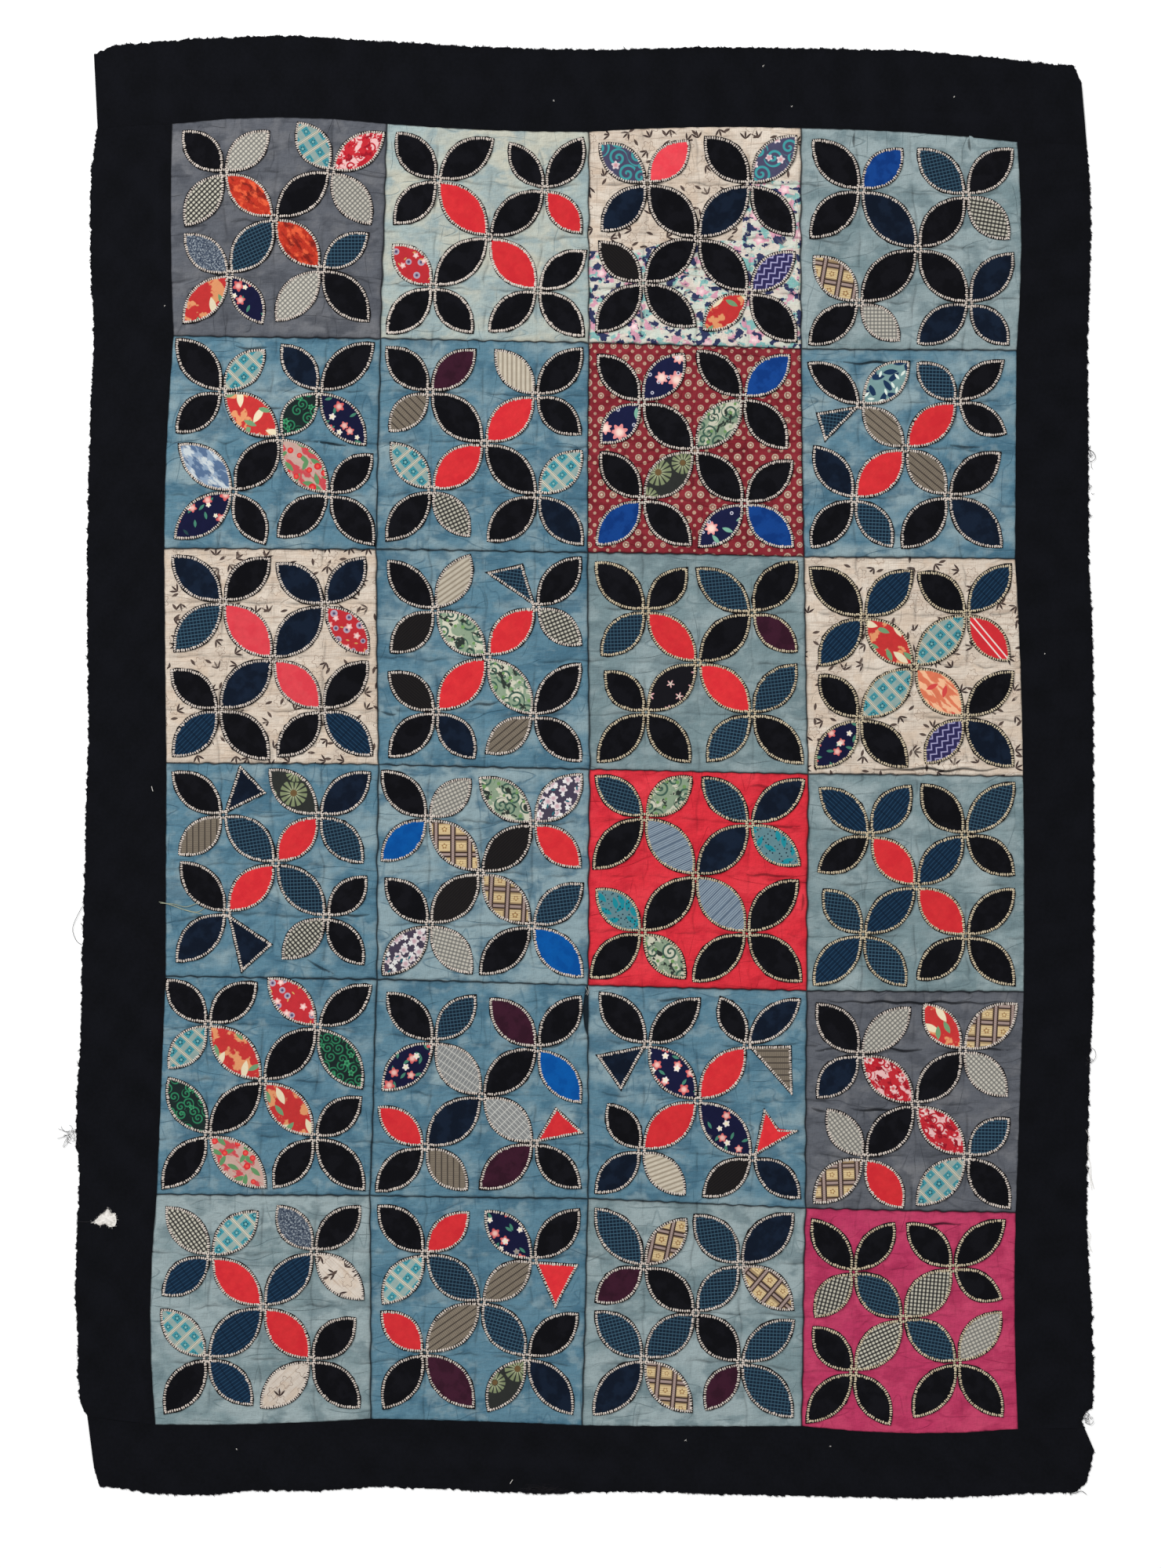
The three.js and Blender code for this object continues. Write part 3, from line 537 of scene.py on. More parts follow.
def ripple(places: Array, pitch: float, seed: float) -> Array:
    """Gives a smooth unevenness over the plane, mostly between -1 and 1.

    Args:
        places: Points in millimetres, one to a row.
        pitch: The usual distance between two crests.
        seed: The number that picks the pattern.

    Returns:
        One value for each point.
    """
    total = np.zeros(len(places))
    for wave in range(WAVES):
        angle = math.pi * uneven(seed + wave)
        length = pitch * (1 + WAVE_SPREAD * uneven(seed + 5 * wave + 0.7))
        phase = math.tau * uneven(seed + 7 * wave + 0.3)
        along = places[:, 0] * math.cos(angle) + places[:, 1] * math.sin(angle)
        total += np.sin(along * math.tau / length + phase)
    return total / math.sqrt(WAVES)


@dataclass(frozen=True)
class Wave:
    """An unevenness of the cloth: its pitch and height in millimetres, and what sets its pattern apart."""

    pitch: float
    height: float
    apart: float = 0.0

    def over(self, places: Array, seed: float) -> Array:
        """Gives its height at some points."""
        return self.height * ripple(places, self.pitch, seed + self.apart)


def near(away: Array, reach: Array | float) -> Array:
    """Fades as a bell does, from 1 on a line to nothing well beyond its reach."""
    return np.exp(-((away / reach) ** 2))


def unit(ways: Array) -> Array:
    """Makes vectors one unit long."""
    return ways / np.maximum(np.linalg.norm(ways, axis=-1, keepdims=True), TINY)


def left_hand(ways: Array) -> Array:
    """Turns vectors a quarter turn to the left."""
    return np.stack([-ways[..., 1], ways[..., 0]], axis=-1)


def cross(first: Array, last: Array) -> Array:
    """Gives how far each last vector leans to the left of the first."""
    return first[..., 0] * last[..., 1] - first[..., 1] * last[..., 0]


def area(loop: Array) -> float:
    """Gives the area inside a closed loop."""
    return abs(float(np.sum(cross(loop, np.roll(loop, -1, axis=0))))) / 2


def outward(loop: Array) -> Array:
    """Finds which way is out along a counter-clockwise loop, longer at corners so that offsets stay even.

    Args:
        loop: The loop's points.

    Returns:
        A vector for each point.
    """
    before = -left_hand(unit(loop - np.roll(loop, 1, axis=0)))
    after = -left_hand(unit(np.roll(loop, -1, axis=0) - loop))
    middle = unit(before + after)
    return middle / np.maximum(np.sum(middle * after, axis=1, keepdims=True), SHARPEST)


def run(line: Array) -> Array:
    """Gives how far along a line each of its points lies."""
    return np.concatenate([[0.0], np.cumsum(np.linalg.norm(np.diff(line, axis=0), axis=1))])


def between(marks: Array, far: Array, line: Array) -> Array:
    """Reads a line of points or vectors at some marks, where far says where its own points lie."""
    return np.stack([np.interp(marks, far, line[:, axis]) for axis in range(2)], axis=1)


def stepped(points: Sequence[Point] | Array, step: float) -> Array:
    """Walks along a line of points at nearly even steps.

    Args:
        points: The line's points.
        step: The distance to keep.

    Returns:
        The points of the walk, ends included.
    """
    line = np.array(points, float)
    far = run(line)
    return between(np.linspace(0, far[-1], max(2, round(far[-1] / step) + 1)), far, line)


def lifted(places: Array, heights: Array | float) -> Array:
    """Gives flat points their heights."""
    return np.column_stack([places, np.broadcast_to(np.asarray(heights, float), (len(places),))])


def netted(down: int, across: int) -> Faces:
    """Lists the faces of a net of points, facing up where its rows run down.

    Args:
        down: Points from top to bottom.
        across: Points from left to right.

    Returns:
        The faces.
    """
    corners = np.arange(down * across).reshape(down, across)
    quads = np.stack([corners[:-1, :-1], corners[1:, :-1], corners[1:, 1:], corners[:-1, 1:]], axis=-1)
    return [tuple(quad) for quad in quads.reshape(-1, 4).tolist()]


def ringed(rings: int, count: int) -> Faces:
    """Lists the faces between closed rings of points, each as long as the next.

    Args:
        rings: How many rings there are.
        count: The points of one.

    Returns:
        The faces, ring by ring.
    """
    faces = []
    for low in range(0, (rings - 1) * count, count):
        for step in range(count):
            after = (step + 1) % count
            faces.append((low + step, low + after, low + count + after, low + count + step))
    return faces


def linear(shade: Shade) -> tuple[float, float, float, float]:
    """Turns a shade as the eye reads it, 0 to 255, into the light that a colour socket takes."""
    light = [((c / 255 + 0.055) / 1.055) ** 2.4 if c > 10 else c / 255 / 12.92 for c in shade]
    return (*light, 1.0)


class Value:
    """A node's output that takes part in arithmetic."""

    def __init__(self, dye: Dye, socket: bpy.types.NodeSocket) -> None:
        """Keeps the dye whose nodes the value adds to, and the socket."""
        self.dye = dye
        self.socket = socket

    def __add__(self, other: Number) -> Value:
        """Adds."""
        return self.dye.maths("ADD", self, other)

    __radd__ = __add__

    def __sub__(self, other: Number) -> Value:
        """Takes away."""
        return self.dye.maths("SUBTRACT", self, other)

    def __rsub__(self, other: Number) -> Value:
        """Is taken away."""
        return self.dye.maths("SUBTRACT", other, self)

    def __mul__(self, other: Number) -> Value:
        """Multiplies."""
        return self.dye.maths("MULTIPLY", self, other)

    __rmul__ = __mul__

    def __truediv__(self, other: Number) -> Value:
        """Divides."""
        return self.dye.maths("DIVIDE", self, other)

    def __abs__(self) -> Value:
        """Drops the sign."""
        return self.dye.maths("ABSOLUTE", self)

    def most(self, other: Number) -> Value:
        """Takes the greater of the two."""
        return self.dye.maths("MAXIMUM", self, other)

    def cosine(self) -> Value:
        """Takes the cosine."""
        return self.dye.maths("COSINE", self)

    def sine(self) -> Value:
        """Takes the sine."""
        return self.dye.maths("SINE", self)

    def part(self) -> Value:
        """Keeps what follows the decimal point."""
        return self.dye.maths("FRACT", self)

    def off_line(self, pitch: float) -> Value:
        """Gives the distance from the nearest of the lines halfway between even steps."""
        return abs((self / pitch).part() - 0.5) * pitch

    def rise(self, low: float, high: float) -> Value:
        """Climbs softly from 0 at low to 1 at high, or falls where low is the greater."""
        sockets = {"Value": self, "From Min": low, "From Max": high, "To Min": 0.0, "To Max": 1.0}
        return self.dye.read("ShaderNodeMapRange", {"interpolation_type": "SMOOTHSTEP"}, sockets)

    def inside(self, limit: Number, soft: float = 0.3) -> Value:
        """Is 1 below a limit and 0 above it, with an edge twice as wide as soft."""
        return (self - limit).rise(soft, -soft)


Number = Value | float


@dataclass(frozen=True)
class Cell:
    """One cell of a scattered print: places from its middle in millimetres, and two chances of its own."""

    x: Value
    y: Value
    radius: Value
    angle: Value
    chance: Value
    other: Value


class Dye:
    """The nodes of one finish, laid out over the cloth's own coordinates in millimetres."""

    def __init__(self, name: str) -> None:
        """Makes an empty material with the cloth's coordinates ready.

        Args:
            name: The material's name.
        """
        self.material = bpy.data.materials.new(name)
        self.material.use_nodes = True
        self.tree = self.material.node_tree
        self.tree.nodes.clear()
        self.place = self.read("ShaderNodeAttribute", {"attribute_name": "weave"}, {}, "Vector")
        self.x, self.y, self.chance = self.apart("ShaderNodeSeparateXYZ", self.place)

    def node(self, kind: str, settings: dict, sockets: dict) -> bpy.types.ShaderNode:
        """Adds one node.

        Args:
            kind: The node's type.
            settings: Its settings, which are set first.
            sockets: The values or links of its sockets.

        Returns:
            The node.
        """
        made = self.tree.nodes.new(kind)
        for name, setting in settings.items():
            setattr(made, name, setting)
        for key, value in sockets.items():
            if isinstance(value, Value):
                self.tree.links.new(value.socket, made.inputs[key])
            else:
                made.inputs[key].default_value = value
        return made

    def read(self, kind: str, settings: dict, sockets: dict, output: str | int = 0) -> Value:
        """Adds one node and takes one of its outputs."""
        return Value(self, self.node(kind, settings, sockets).outputs[output])

    def apart(self, kind: str, whole: Value) -> list[Value]:
        """Takes a vector or a colour apart into its three numbers."""
        return [Value(self, socket) for socket in self.node(kind, {}, {0: whole}).outputs]

    def maths(self, operation: str, *values: Number) -> Value:
        """Adds one step of arithmetic."""
        return self.read("ShaderNodeMath", {"operation": operation}, dict(enumerate(values)))

    def vector(self, operation: str, *values: object) -> Value:
        """Adds one step of arithmetic on vectors."""
        return self.read("ShaderNodeVectorMath", {"operation": operation}, dict(enumerate(values)))

    def attribute(self, name: str) -> Value:
        """Reads a number that the cloth's points carry."""
        return self.read("ShaderNodeAttribute", {"attribute_name": name}, {}, "Fac")

    def mix(self, share: Number, under: Shade | Value, over: Shade | Value) -> Value:
        """Lays one colour over another, as much as the share says."""
        pair = [shade if isinstance(shade, Value) else linear(shade) for shade in (under, over)]
        return self.read("ShaderNodeMix", {"data_type": "RGBA"}, {0: share, 6: pair[0], 7: pair[1]}, 2)

    def scaled(self, wide: float, high: float, shift: float) -> Value:
        """Scales the cloth's coordinates, so many millimetres to one unit, and shifts them."""
        return self.vector("MULTIPLY_ADD", self.place, (1 / wide, 1 / high, 0.0), (shift, 1.7 * shift, 0.0))

    def noise(self, wide: float, high: float | None = None, detail: float = 2.0, shift: float = 0.0) -> Value:
        """Gives a soft cloudy share, about a half on average.

        Args:
            wide: The clouds' usual width in millimetres.
            high: Their usual height, the same if not given.
            detail: How many finer clouds lie in them.
            shift: A distance that parts one pattern from the next.

        Returns:
            The share.
        """
        place = self.scaled(wide, high or wide, shift)
        sockets = {"Vector": place, "Scale": 1.0, "Detail": detail, "Roughness": 0.55}
        return self.read("ShaderNodeTexNoise", {"noise_dimensions": "2D"}, sockets)

    def slub(self, long: float, thin: float) -> Value:
        """Gives the thick and thin of the yarns, both ways, about 1 on average."""
        return self.noise(long, thin, 2.0, 3.1) + self.noise(thin, long, 2.0, 5.3)

    def cells(self, pitch: float, loose: float, shift: float) -> Cell:
        """Scatters points over the cloth.

        Args:
            pitch: Millimetres from one to the next.
            loose: How far they stray from a square grid, 0 to 1.
            shift: A distance that parts one scatter from the next.

        Returns:
            The cell of the nearest point.
        """
        place = self.scaled(pitch, pitch, shift)
        settings = {"voronoi_dimensions": "2D", "feature": "F1"}
        sockets = {"Vector": place, "Scale": 1.0, "Randomness": loose}
        made = self.node("ShaderNodeTexVoronoi", settings, sockets)
        far, colour, spot = (Value(self, made.outputs[name]) for name in ("Distance", "Color", "Position"))
        away = self.apart("ShaderNodeSeparateXYZ", self.vector("SUBTRACT", place, spot))
        x, y = (part * pitch for part in away[:2])
        chance, other, _ = self.apart("ShaderNodeSeparateColor", colour)
        return Cell(x, y, far * pitch, self.maths("ARCTAN2", y, x), chance, other)

    def finish(
        self, colour: Value, roughness: float, height: Value | None = None, depth: float = 0.0
    ) -> Finish:
        """Closes the material.

        Args:
            colour: What colours it.
            roughness: How matt it is.
            height: Its relief, if it has any.
            depth: The relief's depth in millimetres.

        Returns:
            The material.
        """
        sockets = {"Base Color": colour, "Roughness": roughness, "Specular IOR Level": SHEEN}
        if height is not None:
            relief = {"Strength": 1.0, "Distance": depth * MM, "Height": height}
            sockets["Normal"] = self.read("ShaderNodeBump", {}, relief)
        shader = self.read("ShaderNodeBsdfPrincipled", {}, sockets)
        self.node("ShaderNodeOutputMaterial", {}, {0: shader})
        return self.material


class Axis(Enum):
    """Which way a stripe is counted off."""

    ACROSS = "across"
    ALONG = "along"


class Form(Enum):
    """The forms of scattered motifs."""

    DISC = "disc"
    RING = "ring"
    ROSE = "rose"
    LEAF = "leaf"
    SPRIG = "sprig"
    CURL = "curl"
    BRICK = "brick"
    RAYS = "rays"
    STAR = "star"
    OUTLINE = "outline"


class Layer:
    """One layer of a print."""

    def drawn(self, dye: Dye) -> tuple[Value, Shade | Value]:
        """Gives how much of the layer shows at a place, and its shade there."""
        raise NotImplementedError

    def lay(self, dye: Dye, colour: Value) -> Value:
        """Lays the layer over a colour."""
        share, shade = self.drawn(dye)
        return dye.mix(share, colour, shade)


@dataclass(frozen=True)
class Stripe(Layer):
    """Stripes: their pitch and width in millimetres, shade, which way they run and how far they cover."""

    pitch: float
    width: float
    shade: Shade
    axis: Axis = Axis.ALONG
    cover: float = 1.0
    shift: float = 0.0
    soft: float = 0.25

    def drawn(self, dye: Dye) -> tuple[Value, Shade | Value]:
        """Gives where the stripes run, and their shade."""
        away = ((dye.y if self.axis is Axis.ALONG else dye.x) + self.shift).off_line(self.pitch)
        return away.inside(self.width / 2, self.soft) * self.cover, self.shade


@dataclass(frozen=True)
class Cloud(Layer):
    """Cloudy patches: their width and height in millimetres, shade, where they begin and how they cover."""

    wide: float
    high: float
    shade: Shade
    start: float = 0.45
    soft: float = 0.12
    cover: float = 1.0
    shift: float = 0.0
    detail: float = 3.0

    def drawn(self, dye: Dye) -> tuple[Value, Shade | Value]:
        """Gives where the patches lie, and their shade."""
        cloud = dye.noise(self.wide, self.high, self.detail, self.shift)
        return cloud.rise(self.start - self.soft, self.start + self.soft) * self.cover, self.shade


@dataclass(frozen=True)
class Zigzag(Layer):
    """Zigzag lines: how far apart, how wide, how long a leg is, and their shade."""

    pitch: float
    width: float
    leg: float
    shade: Shade

    def drawn(self, dye: Dye) -> tuple[Value, Shade | Value]:
        """Gives where the lines run, and their shade."""
        away = (dye.y + dye.x.off_line(2 * self.leg)).off_line(self.pitch)
        return away.inside(self.width / 2), self.shade


@dataclass(frozen=True)
class Blade:
    """Blades of a leaf or sprig: their leans, and their middle, half length and half width to its size."""

    leans: tuple[float, ...]
    middle: float
    long: float
    slim: float


BLADES = {
    Form.LEAF: Blade((0.0,), 0.0, 1.0, 0.36),
    Form.SPRIG: Blade((-0.75, 0.0, 0.75), 0.55, 0.55, 0.13),
}

# How far the lobes of a form draw in between their tips, as half a share of its size
LOBES = {Form.ROSE: 0.18, Form.OUTLINE: 0.2, Form.STAR: 0.45}


@dataclass(frozen=True)
class Motif(Layer):
    """A scattered motif: its form, pitch and size in millimetres, its shade and the shade of its heart."""

    form: Form
    pitch: float
    size: float
    shade: Shade
    core: Shade | None = None
    share: float = 1.0
    loose: float = 0.8
    shift: float = 0.0
    lobes: int = 5
    least: float = 0.8
    growth: float = 0.4
    line: float = 0.4
    ring: float = 0.72
    ring_half: float = 0.24
    squat: float = 1.3
    ray_half: float = 0.33
    hollow: float = 0.25
    coil: float = 0.62
    coil_half: float = 0.2

    def mask(self, cell: Cell) -> Value:
        """Gives where the motif covers.

        Args:
            cell: The cell it lies in.

        Returns:
            The share that it covers.
        """
        if self.form in BLADES:
            return reduce(Value.most, self.blades(cell))
        size = self.size * (self.least + self.growth * cell.other)
        if self.form in LOBES:
            swing = LOBES[self.form]
            lobed = (cell.angle * self.lobes + math.tau * cell.chance).cosine()
            rim = size * (1 - swing + swing * lobed)
            if self.form is Form.OUTLINE:
                return abs(cell.radius - rim).inside(self.line)
            return cell.radius.inside(rim)
        if self.form is Form.RING:
            return abs(cell.radius - self.ring * size).inside(self.ring_half * self.size)
        if self.form is Form.BRICK:
            return abs(cell.x).most(abs(cell.y) * self.squat).inside(size)
        if self.form is Form.RAYS:
            ray = abs((cell.angle * (self.lobes / math.tau) + cell.chance).part() - 0.5)
            hollow = (cell.radius - self.hollow * self.size).rise(0.0, 0.8)
            return ray.inside(self.ray_half, 0.06) * cell.radius.inside(size) * hollow
        if self.form is Form.CURL:
            turn = (cell.radius / (self.coil * self.size) + cell.angle / math.tau + cell.chance).part()
            return abs(turn - 0.5).inside(self.coil_half, 0.08) * cell.radius.inside(size)
        return cell.radius.inside(size)

    def blades(self, cell: Cell) -> list[Value]:
        """Draws the blades of a leaf or sprig.

        Args:
            cell: The cell it lies in.

        Returns:
            Where each covers.
        """
        blade = BLADES[self.form]
        drawn = []
        for lean in blade.leans:
            way = cell.other * math.tau + lean
            along = cell.x * way.cosine() + cell.y * way.sine()
            across = cell.y * way.cosine() - cell.x * way.sine()
            far = (along - blade.middle * self.size) / (blade.long * self.size)
            drawn.append((far * far + abs(across / (blade.slim * self.size))).inside(1.0, 0.12))
        return drawn

    def drawn(self, dye: Dye) -> tuple[Value, Shade | Value]:
        """Gives where the motif covers, and its shade there.

        Args:
            dye: The finish it belongs to.

        Returns:
            The share and the shade.
        """
        cell = dye.cells(self.pitch, self.loose, self.shift)
        mask = self.mask(cell)
        if self.share < 1:
            mask = mask * cell.chance.inside(self.share, 0.01)
        if self.core:
            return mask, dye.mix((cell.radius / self.size).rise(0.15, 0.8), self.core, self.shade)
        return mask, self.shade


def printed(dye: Dye, colour: Value, layers: Sequence[Layer]) -> Value:
    """Prints layers over a colour, one after the other."""
    return reduce(lambda under, layer: layer.lay(dye, under), layers, colour)


@dataclass(frozen=True)
class Cloth:
    """A petal's cloth: its name, ground shade, the layers over it, how it shades off, and how it shines."""

    name: str
    ground: Shade
    layers: tuple[Layer, ...]
    shading: float = 0.16
    roughness: float = 0.9
    crumple: float = 0.25
    worn: float = 0.88
    wear: float = 9.0
    yarn: Point = (7.0, 0.9)
    pucker: float = 11.0

    def dyed(self) -> Finish:
        """Makes the cloth's material.

        Returns:
            The material.
        """
        dye = Dye(f"cloth_{self.name}")
        worn = tuple(round(part * self.worn) for part in self.ground)
        colour = printed(dye, dye.mix(dye.noise(self.wear, self.wear, 3.0), worn, self.ground), self.layers)
        slub = dye.slub(*self.yarn)
        shaded = (slub * 0.5 + dye.chance).rise(0.25, 1.25) * self.shading
        height = slub * 0.3 + dye.noise(self.pucker, self.pucker, 2.0, 9.7) * 2.0
        return dye.finish(dye.mix(shaded, colour, PETAL_SHADOW), self.roughness, height, self.crumple)


# A stripe's width, shade and cover
Band = tuple[float, Shade, float]

CREAM_LEAVES = (
    Cloud(30, 22, (205, 186, 166), 0.56, 0.08, 0.6),
    Stripe(3.4, 0.8, (196, 176, 158), Axis.ACROSS, 0.25),
    Cloud(60, 1.6, (168, 146, 128), 0.6, 0.05, 0.5, 3.0),
    Motif(Form.OUTLINE, 27, 8, (142, 122, 108), share=0.6, shift=4.7),
    Motif(Form.SPRIG, 26, 10.5, (66, 53, 50), share=0.6, loose=0.95),
    Motif(Form.LEAF, 21, 5.4, (84, 70, 64), share=0.4, shift=7.3),
)


def checked(pitch: float, along: Band, across: Band) -> tuple[Layer, ...]:
    """Weaves stripes both ways: how far apart, then the width, shade and cover of each."""
    ways = ((along, Axis.ALONG), (across, Axis.ACROSS))
    return tuple(Stripe(pitch, width, shade, axis, cover) for (width, shade, cover), axis in ways)


def framed(pitch: float, bands: Sequence[tuple[float, Shade]], axes: Sequence[Axis]) -> tuple[Layer, ...]:
    """Rules a grid of lines within lines: how far apart, the width and shade of each, and which ways."""
    return tuple(Stripe(pitch, *band, axis) for axis in axes for band in bands)


